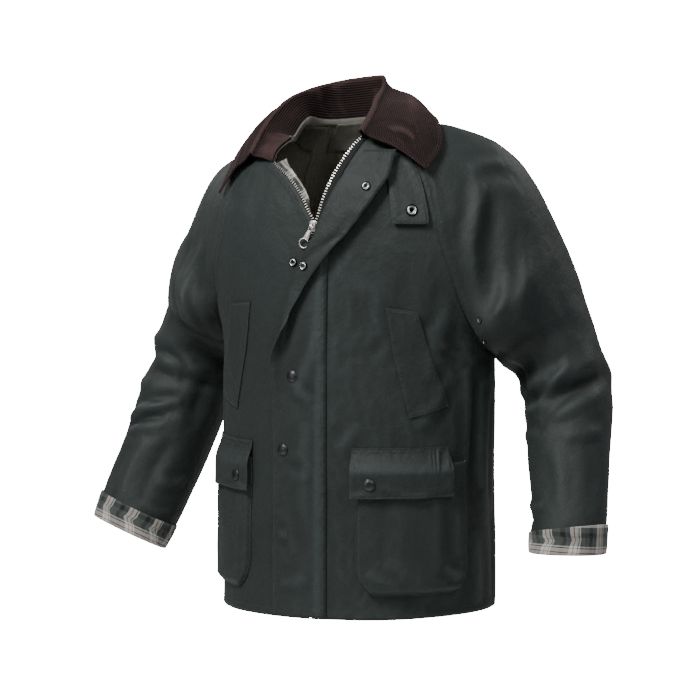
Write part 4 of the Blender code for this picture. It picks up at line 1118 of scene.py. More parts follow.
def sleeve_section(station, right):
    """The sleeve's lines at a station: seam points, top point, their directions and fullness."""
    if station <= 1.0:
        under_x, under_z, over_x, over_z, middle_y, depth, lean, skew = smooth(SLEEVE_RINGS, station)
        under = np.array([under_x, middle_y + skew, under_z])
        over = np.array([over_x, middle_y - skew, over_z])
        if right:
            at_end = max(0.0, 1 - station / RIGHT_END["reach"])
            drop = RIGHT_SLEEVE_DROP * (1 - ease(station / DROP_STATION))
            under += np.array([RIGHT_END["out"] * at_end, 0.0, RIGHT_END["under"] * at_end - drop])
            over += np.array([RIGHT_END["out"] * at_end, 0.0, RIGHT_END["over"] * at_end - drop])
            lean += RIGHT_END["lean"] * at_end
        if station > 0.9:
            under[1] += (0.036 - under[1]) * ease((station - 0.9) / 0.1)
        outward = 0.35 * ease((station - 0.75) / 0.25)
        ahead, behind = unit([outward, -1.0, lean]), unit([outward, 1.0, -lean])
        fullness = depth / (np.linalg.norm(over - under) / 2)
        return under, under, over, ahead, behind, unit([0.0, 1.0, -lean]), fullness
    x, y, z, seam_height = smooth(SHOULDER, station)
    if right:
        away = (x - RIGHT_SHOULDER_X) / RIGHT_SHOULDER_REACH
        z -= RIGHT_SHOULDER_DROP * math.exp(-away * away) + RIGHT_NECK_DROP * ease((station - 1.7) / 0.2)
    front_angle = seam_angle(seam_height, False) + seam_gap(seam_height)
    back_angle = seam_angle(seam_height, True) - seam_gap(seam_height)
    round_it = ease((station - 1) / 0.55)
    first, last = side_ring(front_angle, seam_height, right), side_ring(back_angle, seam_height, right)
    onward = unit(side_ring(front_angle + 1, seam_height, right) - first)
    inward = unit(side_ring(back_angle - 1, seam_height, right) - last)
    ahead = unit((1 - round_it) * unit([0.35, -1.0, 0.0]) + round_it * onward)
    behind = unit((1 - round_it) * unit([0.35, 1.0, 0.0]) + round_it * inward)
    fullness = smooth(SLEEVE_RINGS, 1.0)[5] / UNDERARM_HALF * (1 - round_it) + CAP_FULLNESS * round_it
    return first, last, np.array([x, y, z]), ahead, behind, np.array([0.0, 1.0, 0.0]), fullness


def sleeve_rings(stations, turns, right):
    """The sleeve's plain form; turn 0 is the front seam, or the seam under the arm."""
    rows = []
    for station in stations:
        first, last, over, ahead, behind, back, fullness = sleeve_section(station, right)
        front_part = arc(first, ahead, over, back, fullness, np.clip(turns * 2, 0, 1))
        back_part = arc(over, back, last, -behind, fullness, np.clip(turns * 2 - 1, 0, 1))
        rows.append(np.where(turns[:, None] <= 0.5, front_part, back_part))
    return np.array(rows)


print("cuff ring:", sleeve_rings([0.0], sleeve_turns, False)[0].mean(0).round(3))

# %% Folded sleeves
def sleeve_relief(stations, turns, right):
    """How far folds and creases push a sleeve's cloth, and where it stays calm."""
    u, v = np.meshgrid(turns * TURN_LENGTH, stations * STATION_LENGTH)
    station, turn = v / STATION_LENGTH, u / TURN_LENGTH
    at_seams = np.minimum(ease((turn - 0.02) / 0.08), ease((0.98 - turn) / 0.08))
    calm = np.where(station > 0.97, at_seams, 1.0) * ease(station / 0.2) * ease((2.0 - station) / 0.12)
    push = sum(straight_folds(sleeve_folds, u + lap * TURN_LENGTH, v)
               + crease_depth(sleeve_creases[right], u + lap * TURN_LENGTH, v) for lap in (-1, 0, 1))
    return push * calm, calm


def sleeve_grid(stations, turns, right, form=False):
    """Points and outward directions of the sleeve, as for the wearer's left."""
    grid = sleeve_rings(stations, turns, right)
    rings = int((np.asarray(stations) <= 1.0).sum())
    if stations[-1] == 2.0:
        ends = float(seam_angle(NECK_END, False)), float(seam_angle(NECK_END, True))
        gap = float(seam_gap(NECK_END))
        angle = ends[0] + gap + (ends[1] - ends[0] - 2 * gap) * turns
        grid[-1] = side_ring(angle, neck_height(180 - angle if right else angle), right)
    out = normals(grid, rings)
    if not form:
        push, calm = sleeve_relief(stations, turns, right)
        seen = grid * (-1.0, 1.0, 1.0) if right else grid
        grid = grid + out * (push + rumple(seen) * calm)[..., None]
    return grid, out


def mirrored(grid):
    return grid[:, ::-1] * np.array([-1.0, 1.0, 1.0])


sleeves = {}
for side, right in SIDES:
    form, folded = (sleeve_grid(sleeve_stations, sleeve_turns, right, plain)[0] for plain in (True, False))
    if right:
        form, folded = mirrored(form), mirrored(folded)
    sleeves[side] = folded
    sheet(f"sleeve_{side}_cloth", folded, CLOTH, wax, f"sleeve_{side}", form)

# %% [markdown]
# ## Turned-back cuffs
#
# The lining goes down inside each sleeve, round its end and a little way back up outside, so one sheet is
# bent round the edge. A band laid on top would show no thickness at the edge. Small puckers along its
# stitching come from a wave whose height wanders.

# %% Cuffs
CUFF_CLOTH, END_LENGTH = 0.0012, 0.27
CUFF_PROFILE = (
    # place, along the sleeve from its end, out of its cloth
    (0.0, 0.014, -0.0035),
    (0.22, 0.001, -0.0035),
    (0.3, -0.002, -0.0022),
    (0.36, -0.0026, -0.0005),
    (0.42, -0.0014, 0.002),
    (0.52, 0.006, 0.0029),
    (0.7, 0.015, 0.0027),
    (0.86, 0.024, 0.0029),
    (1.0, 0.03, 0.0022),
)


def cuff_grid(right):
    rows = []
    turns = np.linspace(0, 1, 181)
    end, out = (grid[0] for grid in sleeve_grid(np.array([0.0, 0.02]), turns, right, True))
    down = unit(end - sleeve_rings([0.02], turns, right)[0])
    wander = 1 + 0.5 * np.sin(turns * 2 * math.pi * 3 + 1.3)
    for place in np.linspace(0, 1, 34):
        along, lift = smooth(CUFF_PROFILE, place)
        if along > 0:
            stations = np.array([0.0, along / END_LENGTH, 0.2])
            row, way = (grid[1] for grid in sleeve_grid(stations, turns, right, True))
        else:
            row, way = end + down * -along, out
        puckers = 0.00045 * np.sin(turns * 2 * math.pi * 46 + 3 * np.sin(turns * 19)) * wander
        near_stitch = math.exp(-((along - 0.015) / 0.006) ** 2) if place > 0.5 else 0.0
        row = row + way * (lift + puckers * (0.4 + near_stitch) * (place > 0.45))[:, None]
        row[-1] = row[0]
        rows.append(row)
    grid = np.array(rows)
    return mirrored(grid) if right else grid


cuffs = {}
for side, right in SIDES:
    cuffs[side] = cuff_grid(right)
    sheet(f"cuff_{side}_cloth", cuffs[side], CUFF_CLOTH, check, f"cuff_{side}",
          wear=0.0)

# %% [markdown]
# ## Collar
#
# The collar stands up from the neck seam, rolls over and falls outwards. Its section is a smooth line
# through eight points that change round the neck. Modelled flat and bent by a modifier, its points would
# not meet the open zip at both ends.

# %% Collar
COLLAR = (
    # angle, roll_x, roll_y, roll_z, edge_x, edge_y, edge_z, arch
    (-67.0, 0.056, -0.108, -0.006, 0.157, -0.098, -0.06, 0.004),
    (-40.0, 0.048, -0.06, 0.016, 0.161, -0.06, -0.034, 0.006),
    (0.0, 0.031, 0.0, 0.038, 0.128, 0.004, 0.009, 0.01),
    (45.0, 0.016, 0.055, 0.057, 0.082, 0.084, 0.003, 0.013),
    (90.0, 0.0, 0.08, 0.069, 0.0, 0.106, -0.012, 0.006),
    (135.0, -0.062, 0.06, 0.06, -0.118, 0.09, -0.006, 0.004),
    (180.0, -0.112, 0.0, 0.037, -0.168, 0.002, -0.014, 0.004),
    (215.0, -0.129, -0.052, -0.002, -0.188, -0.048, -0.058, 0.004),
    (242.0, -0.131, -0.098, -0.044, -0.187, -0.096, -0.104, 0.004),
)
COLLAR_ROLL = 0.0045    # radius of the fold between stand and fall
COLLAR_GAP = 0.0004     # space over the neck seam
STAND_HOLLOW = 0.002    # how far the middle of the stand lies in
COLLAR_CREASES = (
    # millimetres along the neck and up the section at three places, width, push
    (100, 40, 130, 62, 170, 70, 8, 1.6),
    (40, 75, 60, 95, 50, 120, 10, 1.6),
    (235, 8, 240, 30, 233, 52, 6, -1.8),
    (272, 6, 268, 28, 276, 50, 6, 1.6),
    (330, 10, 322, 34, 331, 60, 7, -1.8),
    (400, 70, 430, 85, 470, 80, 9, 1.4),
    (300, 85, 290, 105, 301, 130, 10, 1.6),
    (560, 70, 580, 90, 575, 110, 9, 1.6),
)


def collar_section(angle):
    """Eight points of the collar's section at an angle."""
    values = smooth(COLLAR, angle)
    base = body_ring(angle, neck_height(angle))
    ahead = body_ring(angle + 0.5, neck_height(angle + 0.5)) - base
    if angle > COLLAR[-1][0] - 1:
        ahead = base - body_ring(angle - 0.5, neck_height(angle - 0.5))
    outer = body_normal(angle, base[2])
    roll, edge, arch = values[:3], values[3:6], values[6]
    outward = unit((edge - base) * np.array([1.0, 1.0, 0.0]))
    wall = unit(np.cross(ahead, (base + roll) / 2 - outward * STAND_HOLLOW - base))
    clear = LAY_GAP + 1.25 * CORDUROY * max(0.0, -float(np.dot(wall, outer)))
    base = base + unit(np.cross(outer, ahead)) * COLLAR_GAP + outer * clear
    up, fall = np.array([0.0, 0.0, 1.0]), edge - roll
    return np.array((
        base,
        (base + roll) / 2 - outward * STAND_HOLLOW,
        roll - outward * COLLAR_ROLL - up * COLLAR_ROLL * 0.6,
        roll - outward * COLLAR_ROLL * 0.5 + up * COLLAR_ROLL * 0.3,
        roll + outward * COLLAR_ROLL * 0.5 + up * COLLAR_ROLL * 0.3,
        roll + outward * COLLAR_ROLL - up * COLLAR_ROLL * 0.6 + fall * 0.04,
        roll + fall * 0.5 + outward * 0.003 + up * arch,
        edge,
    ))


def through(points, count):
    """Evenly spaced points on a smooth line through a few points."""
    places = np.concatenate(([0.0], np.cumsum(np.linalg.norm(np.diff(points, axis=0), axis=1))))
    fine = smooth(np.column_stack((places, points)), np.linspace(0, places[-1], 400))
    lengths = np.concatenate(([0.0], np.cumsum(np.linalg.norm(np.diff(fine, axis=0), axis=1))))
    at = np.linspace(0, lengths[-1], count)
    return np.column_stack([np.interp(at, lengths, fine[:, axis]) for axis in range(3)])


def collar_grid():
    angles = np.linspace(COLLAR[0][0], COLLAR[-1][0], 190)
    form = np.array([through(collar_section(angle), 62) for angle in angles]).transpose(1, 0, 2)[:, ::-1]
    u, v = cloth_lengths(form)
    u = u - u[:, :1]
    push = crease_depth(in_metres(COLLAR_CREASES, MM), u[:, ::-1], v)
    edge = ease((v[-1] - v) / 0.012) * ease(v / 0.012)
    return form + normals(form) * (push * edge)[..., None], form


collar, collar_form = collar_grid()
sheet("collar_cloth", collar, CORDUROY, cord, "collar", collar_form, wear=0.6)

# %% [markdown]
# ## Storm flap and throat tab
#
# The flap is sewn to the left front and covers the zip. Near the top it is thrown back, which makes one
# long roll from the chest to the neck. Each row is a flat part, then a piece of a circle, then the part
# that lies back, and only the turn of the circle changes with height.

# %% Storm flap
FLAP = (
    # height, seam_x, flat, roll, turn, rest
    (-0.722, 0.026, 0.055, 0.014, 0.0, 0.018),
    (-0.5, 0.026, 0.055, 0.014, 0.0, 0.018),
    (-0.4, 0.026, 0.055, 0.014, 8.0, 0.017),
    (-0.345, 0.026, 0.057, 0.016, 40.0, 0.012),
    (-0.31, 0.026, 0.06, 0.015, 105.0, 0.009),
    (-0.278, 0.026, 0.058, 0.0145, 160.0, 0.009),
    (-0.239, 0.026, 0.051, 0.014, 180.0, 0.018),
    (-0.178, 0.026, 0.025, 0.014, 180.0, 0.036),
    (-0.154, 0.027, 0.014, 0.014, 180.0, 0.045),
    (-0.117, 0.036, 0.01, 0.014, 180.0, 0.058),
    (-0.085, 0.049, 0.009, 0.014, 180.0, 0.062),
    (-0.042, 0.074, 0.007, 0.014, 180.0, 0.038),
)
FLAP_OVER_ZIP = 0.0036  # how much further the flap stands off beyond its seam
SEWN_GAP = 0.0001       # space under the sewn edge
FLAP_CREASES = (
    # length from the seam and height at three places, width, push, in millimetres
    (12, -300, 30, -345, 48, -400, 10, 1.6),
    (55, -372, 40, -392, 20, -400, 8, 1.4),
    (70, -490, 50, -500, 30, -495, 9, -1.2),
    (74, -560, 56, -590, 50, -630, 10, 1.2),
    (60, -600, 69, -600.5, 78, -600, 7, 1.4),
    (30, -430, 36, -470, 30, -520, 12, 1),
    (80, -130, 60, -170, 50, -215, 10, 1.6),
    (30, -660, 50, -675, 75, -670, 10, 1.2),
)


def flap_point(height, length, lift=0.0):
    """Points on the flap, a length from its seam; lift is towards its outer side."""
    height, length = np.broadcast_arrays(np.asarray(height, float), np.asarray(length, float))
    seam_x, flat, roll, turn = np.moveaxis(smooth(FLAP, height), -1, 0)[:4]
    turn = np.radians(turn)
    rolled, over = np.clip(length - flat, 0, roll), np.maximum(length - flat - roll, 0)
    bend = turn * rolled / roll
    bent = turn > 1e-3
    circle = roll / np.where(bent, turn, 1.0)
    across = np.where(bent, circle * np.sin(bend), rolled) + np.minimum(length, flat) + over * np.cos(turn)
    out = np.where(bent, circle * (1 - np.cos(bend)), 0.0) + over * np.sin(turn)
    across, out = across + lift * np.sin(bend), out + lift * np.cos(bend)
    base = TRIM + SEWN_GAP + (LAY_GAP - SEWN_GAP) * ease(length / 0.012)
    base = base + FLAP_OVER_ZIP * ease(np.minimum(length, flat) / 0.01)
    return front(seam_x - across, height, base + out)


def flap_grid(creased):
    heights = np.linspace(FLAP[0][0], FLAP[-1][0], 190)
    flat, roll, rest = smooth(FLAP, heights).T[[1, 2, 4]]
    parts = np.concatenate((np.linspace(0, 1, 12)[:-1], np.linspace(1, 2, 15)[:-1], np.linspace(2, 3, 15)))
    lengths = np.array([np.interp(parts, (0, 1, 2, 3), (0, f, f + r, f + r + e))
                        for f, r, e in zip(flat, roll, rest)])
    height = np.repeat(heights[:, None], lengths.shape[1], axis=1)
    lift = crease_depth(in_metres(FLAP_CREASES, MM), lengths, height) if creased else 0.0
    return flap_point(height, lengths, lift)[:, ::-1]


flap = flap_grid(True)
sheet("storm_flap_cloth", flap, TRIM, wax, "storm_flap", flap_grid(False),
      wear=0.6, lined=False)

# %% Throat tab
TAB = {"left": -61.0, "right": -46.5, "top": -0.036, "bottom": -0.141}


def tab_grid():
    part = np.concatenate((np.linspace(0, 0.12, 9)[:-1], np.linspace(0.12, 1, 34)))[:, None]
    side = across_parts(26, 0.02)[None, :] * 2 - 1
    height = TAB["bottom"] + (TAB["top"] - TAB["bottom"]) * part
    narrow = 1.0 - 0.12 * (1 - np.sqrt(1 - (1 - np.clip(part / 0.1, 0, 1)) ** 2))
    middle, half = (TAB["left"] + TAB["right"]) / 2, (TAB["right"] - TAB["left"]) / 2
    ripple = 0.0008 * np.sin(part * 9 + side * 1.4) * ease((1 - np.abs(side)) / 0.3)
    return body(middle + half * narrow * side, height, LAY_GAP + 2 * TRIM + 0.004 * (1 - part) ** 2 + ripple)


tab = tab_grid()
sheet("throat_tab_cloth", tab, 2 * TRIM, wax, "throat_tab", wear=0.6,
      lined=False)

# %% [markdown]
# ## Pockets
#
# A bellows pocket is a bag with a pleat at its sides and foot, so it stands off the front and sags outwards
# below its stud. It is a grid over the front panel, moved out by a fullness that rises fast at the edges.
# Its flap is cut straight and lies over the mouth. The handwarmers are only slanted welts.

# %% Pocket shapes
POCKET = {"inner": -71.5, "outer": -20.0, "mouth": -0.492, "bottom": -0.69, "depth": 0.017}
POCKET_FOOT = {"part": 0.27, "width": 0.56}     # share of the height that is round, narrowest width
POCKET_WIDTH, POCKET_HEIGHT = 0.155, 0.196      # lengths that its creases are measured on
POCKET_FLAP = {"inner": -72.5, "outer": -30.5, "top": -0.468, "bottom": -0.541}
FLAP_RISE = 0.0146      # how far a full pocket lifts its flap
RIGHT_POCKET_SHIFT, RIGHT_POCKET_FULL = 12.0, 0.55
WELT = (
    # angle, height: top front, top back, foot back, foot front
    (-61.0, -0.262),
    (-48.0, -0.268),
    (-30.0, -0.408),
    (-49.0, -0.424),
)
POCKET_CREASES = (
    # hundredths of the pocket across and up at three places, width and push in millimetres
    (62, 95, 68, 60, 64, 10, 10, 2.2),
    (20, 90, 24, 60, 20, 25, 12, -1.8),
    (84, 75, 90, 50, 86, 28, 8, 2),
    (72, 22, 84, 12, 92, 16, 6, 2.2),
    (78, 10, 86, 6, 92, 8, 5, -1.8),
    (10, 20, 20, 10, 34, 9, 8, 1.8),
    (40, 80, 48, 76, 58, 80, 8, 1.2),
)


def side_grid(angle, height, lift, right):
    """A grid given for the wearer's left, put on either side."""
    if right:
        return body(180 - angle, height, lift)[:, ::-1]
    return body(angle, height, lift)


def pocket_grid(right, creased=True):
    shift, fullness = (RIGHT_POCKET_SHIFT, RIGHT_POCKET_FULL) if right else (0.0, 1.0)
    inner, outer = POCKET["inner"] + shift, POCKET["outer"] + shift
    up = np.concatenate((np.linspace(0, 0.12, 18)[:-1], np.linspace(0.12, 1, 56)))[:, None]
    side = np.concatenate((np.linspace(-1, -0.86, 14)[:-1], np.linspace(-0.86, 0.86, 52),
                           np.linspace(0.86, 1, 14)[1:]))[None, :]
    round_foot = np.sqrt(1 - (1 - np.minimum(up / POCKET_FOOT["part"], 1.0)) ** 2)
    narrow = POCKET_FOOT["width"] + (1 - POCKET_FOOT["width"]) * round_foot
    angle = (inner + outer) / 2 + (outer - inner) / 2 * narrow * side
    height = POCKET["bottom"] + (POCKET["mouth"] - POCKET["bottom"]) * up
    rise = np.minimum(ease((1 - np.abs(side)) / 0.09), ease(up / 0.06))
    full = POCKET["depth"] * fullness * (1 - 0.5 * up) * (0.75 + 0.25 * (1 - side * side))
    if creased:
        u, v = np.broadcast_arrays((side + 1) / 2 * POCKET_WIDTH, up * POCKET_HEIGHT)
        rows = in_metres(POCKET_CREASES, POCKET_WIDTH / 100, POCKET_HEIGHT / 100)
        full = full + crease_depth(rows, u, v) * fullness
    return side_grid(angle, height, POCKET_GAP + TRIM + full * rise, right)


def pocket_flap_grid(right):
    shift, fullness = (RIGHT_POCKET_SHIFT, RIGHT_POCKET_FULL) if right else (0.0, 1.0)
    down = across_parts(34, 0.01)[::-1][:, None]
    across = across_parts(96, 0.008)[None, :]
    lift = LAY_GAP + TRIM + (0.0026 + FLAP_RISE * fullness) * ease(down / 0.5)
    stud = np.hypot((across - 0.18) * 0.145, (down - 0.71) * 0.073)
    lift = lift - 0.0009 * np.exp(-(stud / 0.014) ** 2) * fullness
    at_corner = np.exp(-((across - 0.88) / 0.09) ** 2) * ease(down / 0.08) * (1 - ease((down - 0.2) / 0.4))
    puckers = np.sin(across * 92 + 2.4 * np.sin(across * 31) + down * (4 + 9 * across))
    at_foot = np.exp(-((down - 0.94 + 0.05 * np.sin(across * 7)) / 0.1) ** 2)
    lift = lift + 0.0012 * at_corner * puckers * fullness
    lift = lift + 0.0014 * at_foot * np.sin(across * 11 + 1)
    height = POCKET_FLAP["top"] + (POCKET_FLAP["bottom"] - POCKET_FLAP["top"]) * down
    angle = POCKET_FLAP["inner"] + (POCKET_FLAP["outer"] - POCKET_FLAP["inner"]) * across + shift
    return side_grid(angle, height, lift, right)


def welt_grid(right):
    """The slanted welt, spread between its four corners."""
    top_front, top_back, foot_back, foot_front = (np.array(corner) for corner in WELT)
    up = across_parts(44, 0.01)[:, None, None]
    across = across_parts(18, 0.02)[None, :, None]
    start, end = foot_front + (top_front - foot_front) * up, foot_back + (top_back - foot_back) * up
    places = start + (end - start) * across
    lift = LAY_GAP + TRIM + 0.0015 * across[..., 0]
    return side_grid(places[..., 0], places[..., 1], lift, right)


print("pocket:", POCKET["mouth"] - POCKET["bottom"], "m deep")

# %% Pockets, flaps and welts
pockets, pocket_flaps, welts = {}, {}, {}
for side, right in SIDES:
    pockets[side] = pocket_grid(right)
    sheet(f"pocket_{side}_cloth", pockets[side], TRIM, wax, f"pocket_{side}",
          pocket_grid(right, False), wear=0.2)
    pocket_flaps[side] = pocket_flap_grid(right)
    sheet(f"pocket_flap_{side}_cloth", pocket_flaps[side], TRIM, wax, f"pocket_flap_{side}",
          wear=0.6, lined=False)
    welts[side] = welt_grid(right)
    sheet(f"welt_{side}_cloth", welts[side], TRIM, wax, f"welt_{side}", wear=0.5,
          lined=False)

# %% [markdown]
# ## Inside the neck and the open front
#
# Only what can be seen through the opening is lined: a plain facing below the neck seam, where a label
# would be sewn, and a strip of check beside the right half of the zip.

# %% Facing and lining strip
LINING = (
    # height, past_edge
    (-0.165, 0.0015),
    (-0.137, 0.0015),
    (-0.11, 0.01),
    (-0.085, 0.012),
    (-0.07, 0.016),
    (-0.056, 0.026),
)
THIN_CLOTH = 0.0012     # wall of the facing, the lining strip and the zip's tapes
FACING_GAP, TAPE_GAP = 0.0006, 0.0005
low_part = (side_knots[-3] - HEM) / (NECK_END - HEM)
neck_facing = back_grid(parts=np.linspace(low_part, 0.998, 16), across=np.linspace(0.084, 0.916, 70),
                        lift=-(CLOTH + FACING_GAP))
sheet("neck_facing_cloth", neck_facing, THIN_CLOTH, facing, "neck_facing", wear=0.0)
for side, right in SIDES:
    top, out = sleeve_grid(np.linspace(1.86, 1.985, 10), np.linspace(0.03, 0.97, 50), right)
    top = top - out * (CLOTH + FACING_GAP)
    sheet(f"facing_{side}_cloth", mirrored(top) if right else top, THIN_CLOTH, facing, None,
          wear=0.0)


def beside_zip(right):
    """The rows of a front that run along the zip, and their end that is at the zip."""
    grid = right_front if right else left_front
    return grid[panel_rows <= len(zip_knots(right)) - 1], "end" if right else "start"


def from_zip(right, distance, lift):
    """Points beside the zip: a distance from the front's edge, moved out."""
    return inset(*beside_zip(right), distance, lift)


STRIP_WIDTH = 0.03


def strip_grid():
    """The lining strip, from inside the right front's edge to a little past it."""
    edge_heights = from_zip(True, 0.0, 0.0)[0][:, 2]
    rows = edge_heights > -0.17
    behind = -(CLOTH + TAPE_GAP + THIN_CLOTH + FACING_GAP)
    past = smooth(LINING, edge_heights)[:, 0]
    columns = []
    for part in np.linspace(0, 1, 15):
        inside = from_zip(True, STRIP_WIDTH * (1 - part), behind)[0]
        beyond = unit(from_zip(True, 0.0, behind)[0] - from_zip(True, 0.001, behind)[0])
        columns.append(inside + beyond * (past * part ** 2)[:, None])
    return np.array(columns).transpose(1, 0, 2)[rows]


lining_strip = strip_grid()
sheet("lining_strip_cloth", lining_strip, THIN_CLOTH, strip_check_painted_shade, "lining_strip",
      wear=0.0)

# %% [markdown]
# ### Inside the seams
#
# Two pieces are sewn a little way in from their edges, and the edges lie folded flat inside. The panels
# could simply overlap, but then both would show a step outside. So a narrow strip lies under each seam,
# which also keeps light from coming through it. The neck seam has a plain tape instead, which runs up on to
# the collar.

# %% Seam allowances
ALLOWANCE = 0.007       # how far the sewn edges reach on each side of a seam
INNER_WALL, INNER_GAP = 0.0004, 0.0001


def seam_strip(heights, back, right):
    """A grid along a seam, as wide on both of its pieces, just inside the cloth."""
    line = np.column_stack((np.radians(seam_angle(heights, back)) * BODY_RADIUS, heights))
    along = unit(np.gradient(line, axis=0))
    width = np.linspace(-ALLOWANCE, ALLOWANCE, 7)
    u, v = line[:, :1] + along[:, 1:] * width, line[:, 1:] - along[:, :1] * width
    return side_grid(np.degrees(u / BODY_RADIUS), v, -(CLOTH + INNER_GAP), right)


for side, right in SIDES:
    for part, low, high, back in (("side", HEM + 0.004, UNDERARM - 0.002, False),
                                  ("raglan_front", UNDERARM + 0.004, -0.034, False),
                                  ("raglan_back", UNDERARM + 0.004, -0.008, True)):
        strip = seam_strip(np.linspace(low, high, 90), back, right)
        sheet(f"allowance_{part}_{side}", strip, INNER_WALL, wax, None, wear=0.0)

# %% Tape over the neck seam
TAPE_BELOW, TAPE_ABOVE = (0.009, 0.005, 0.0006), (0.0015, 0.004)     # its points, from the seam
neck_angles = np.linspace(NECK[0][0], NECK[-1][0], 1237)
neck_line = body_ring(neck_angles, neck_height(neck_angles))


def neck_tape(grid):
    """From inside the top edge of a piece up on to the stand of the collar."""
    rows = [inset(grid, "top", distance, -(CLOTH + INNER_GAP))[0] for distance in TAPE_BELOW]
    near = np.linalg.norm(grid[-1][:, None] - neck_line[None], axis=2).argmin(axis=1)
    stand = []
    for angle in neck_angles[near]:
        section = collar_section(angle)
        up = unit(section[1] - section[0])
        inner = section[0] - body_normal(angle, float(neck_height(angle))) * 0.0002
        stand.append([inner + up * distance for distance in TAPE_ABOVE])
    return np.concatenate((np.array(rows), np.array(stand).transpose(1, 0, 2)))


for name, grid in (("front_left", left_front), ("sleeve_left", sleeves["left"]), ("back", back_panel),
                   ("sleeve_right", sleeves["right"]), ("front_right", right_front)):
    sheet(f"neck_tape_{name}", neck_tape(grid), INNER_WALL, facing, None, wear=0.0)

# %% [markdown]
# ### Zip tapes
#
# The teeth are clamped on the edge of a woven tape that is sewn behind each front. Here the tape runs from
# 9 mm inside the front's edge to just past it and turns up there. A flat strip would be simpler, but the
# turned edge closes the view between cloth and teeth. Near the left neck a thin dark strip of tape lies
# outside
# beside the teeth: it is painted shade, for the front's cloth that lies in shade under the thrown-back flap.

# %% Zip tapes
def tape_grid(right):
    behind = -(CLOTH + TAPE_GAP)
    columns = [from_zip(right, distance, behind)[0] for distance in (0.009, 0.006, 0.003, 0.0, -0.0014)]
    columns.append(from_zip(right, -0.0016, behind + THIN_CLOTH)[0])
    grid = np.array(columns).transpose(1, 0, 2)
    return grid if right else grid[:, ::-1]


for side, right in SIDES:
    sheet(f"zip_tape_{side}_cloth", tape_grid(right), THIN_CLOTH, tape, f"zip_tape_{side}",
          wear=0.0)
edge_heights = from_zip(False, 0.0, 0.0)[0][:, 2]
# A thin dark strip of tape on the left front beside the teeth: painted shade, for the cloth shaded by the
# thrown-back flap.
painted_shade_strip = np.array([from_zip(False, distance, 0.0012)[0] for distance in np.linspace(0.0003, 0.0105, 8)])
painted_shade_strip = painted_shade_strip.transpose(1, 0, 2)[edge_heights > ZIP_STOP - 0.004]      # only where the flap is thrown back
sheet("zip_guard_cloth", painted_shade_strip, 0.0008, tape, None, wear=0.0)

# %% [markdown]
# ## Zip teeth by Geometry Nodes
#
# Hundreds of teeth follow the two edges. Placed one by one in code they would be hundreds of objects, and
# an Array modifier with a Curve modifier would stretch them at bends. A node tree cuts each edge line into
# even steps, puts a copy of one tooth on every step, and turns it with two stored directions: along the zip
# and out of the cloth. The tooth itself is a small block with a head that is wider than its neck.

# %% Trees that place copies
def new_tree(name, *sizes):
    """A node tree that takes a geometry, an object to copy, its finish and the named sizes."""
    tree = bpy.data.node_groups.new(name, "GeometryNodeTree")
    for way in ("INPUT", "OUTPUT"):
        tree.interface.new_socket("Geometry", in_out=way, socket_type="NodeSocketGeometry")
    for key, kind in (("Copy", "Object"), ("Finish", "Material"), *((size, "Float") for size in sizes)):
        tree.interface.new_socket(key, in_out="INPUT", socket_type="NodeSocket" + kind)
    return tree, tree.nodes.new("NodeGroupInput").outputs


def place_copies(tree, given, points, rotation, scale=(1.0, 1.0, 1.0)):
    """The end of a tree: a real copy with its finish on every point."""
    shape = add(tree, "GeometryNodeObjectInfo", {0: given["Copy"]}).outputs["Geometry"]
    copies = add(tree, "GeometryNodeInstanceOnPoints", {"Points": points, "Instance": shape,
                                                        "Rotation": rotation, "Scale": scale}).outputs[0]
    real = add(tree, "GeometryNodeRealizeInstances", {0: copies}).outputs[0]
    made = add(tree, "GeometryNodeSetMaterial", {0: real, "Material": given["Finish"]}).outputs[0]
    tree.links.new(made, tree.nodes.new("NodeGroupOutput").inputs[0])
    return tree


def upright_on(tree):
    """The turn that sets a copy's Z on the stored direction out of the cloth."""
    out = add(tree, "GeometryNodeInputNamedAttribute", {"Name": "out"}, data_type="FLOAT_VECTOR").outputs[0]
    return add(tree, "FunctionNodeAlignRotationToVector", {"Vector": out}, axis="Z").outputs[0]


def along_lines():
    """Copies at even steps along the lines, turned to the line and to "out"."""
    tree, given = new_tree("copies_along_lines", "Spacing", "Uneven")
    curve = add(tree, "GeometryNodeMeshToCurve", {0: given["Geometry"]}).outputs[0]
    steps = add(tree, "GeometryNodeResampleCurve", {"Curve": curve, "Length": given["Spacing"]},
                mode="LENGTH")
    tangent = add(tree, "GeometryNodeInputTangent").outputs[0]
    upright = upright_on(tree)
    turned = add(tree, "FunctionNodeAlignRotationToVector", {"Rotation": upright, "Vector": tangent},
                 axis="X", pivot_axis="Z").outputs[0]
    spread = calc(tree, "MULTIPLY", given["Uneven"], -1.0)
    wobble = add(tree, "FunctionNodeRandomValue", {2: spread, 3: given["Uneven"], "Seed": 7},
                 data_type="FLOAT").outputs[1]
    turn = add(tree, "ShaderNodeCombineXYZ", {2: wobble}).outputs[0]
    twisted = add(tree, "FunctionNodeRotateRotation", {0: turned, 1: turn}, rotation_space="LOCAL")
    return place_copies(tree, given, steps.outputs[0], twisted.outputs[0])


lines_tree = along_lines()
print("tree:", lines_tree.name, "with", len(lines_tree.nodes), "nodes")

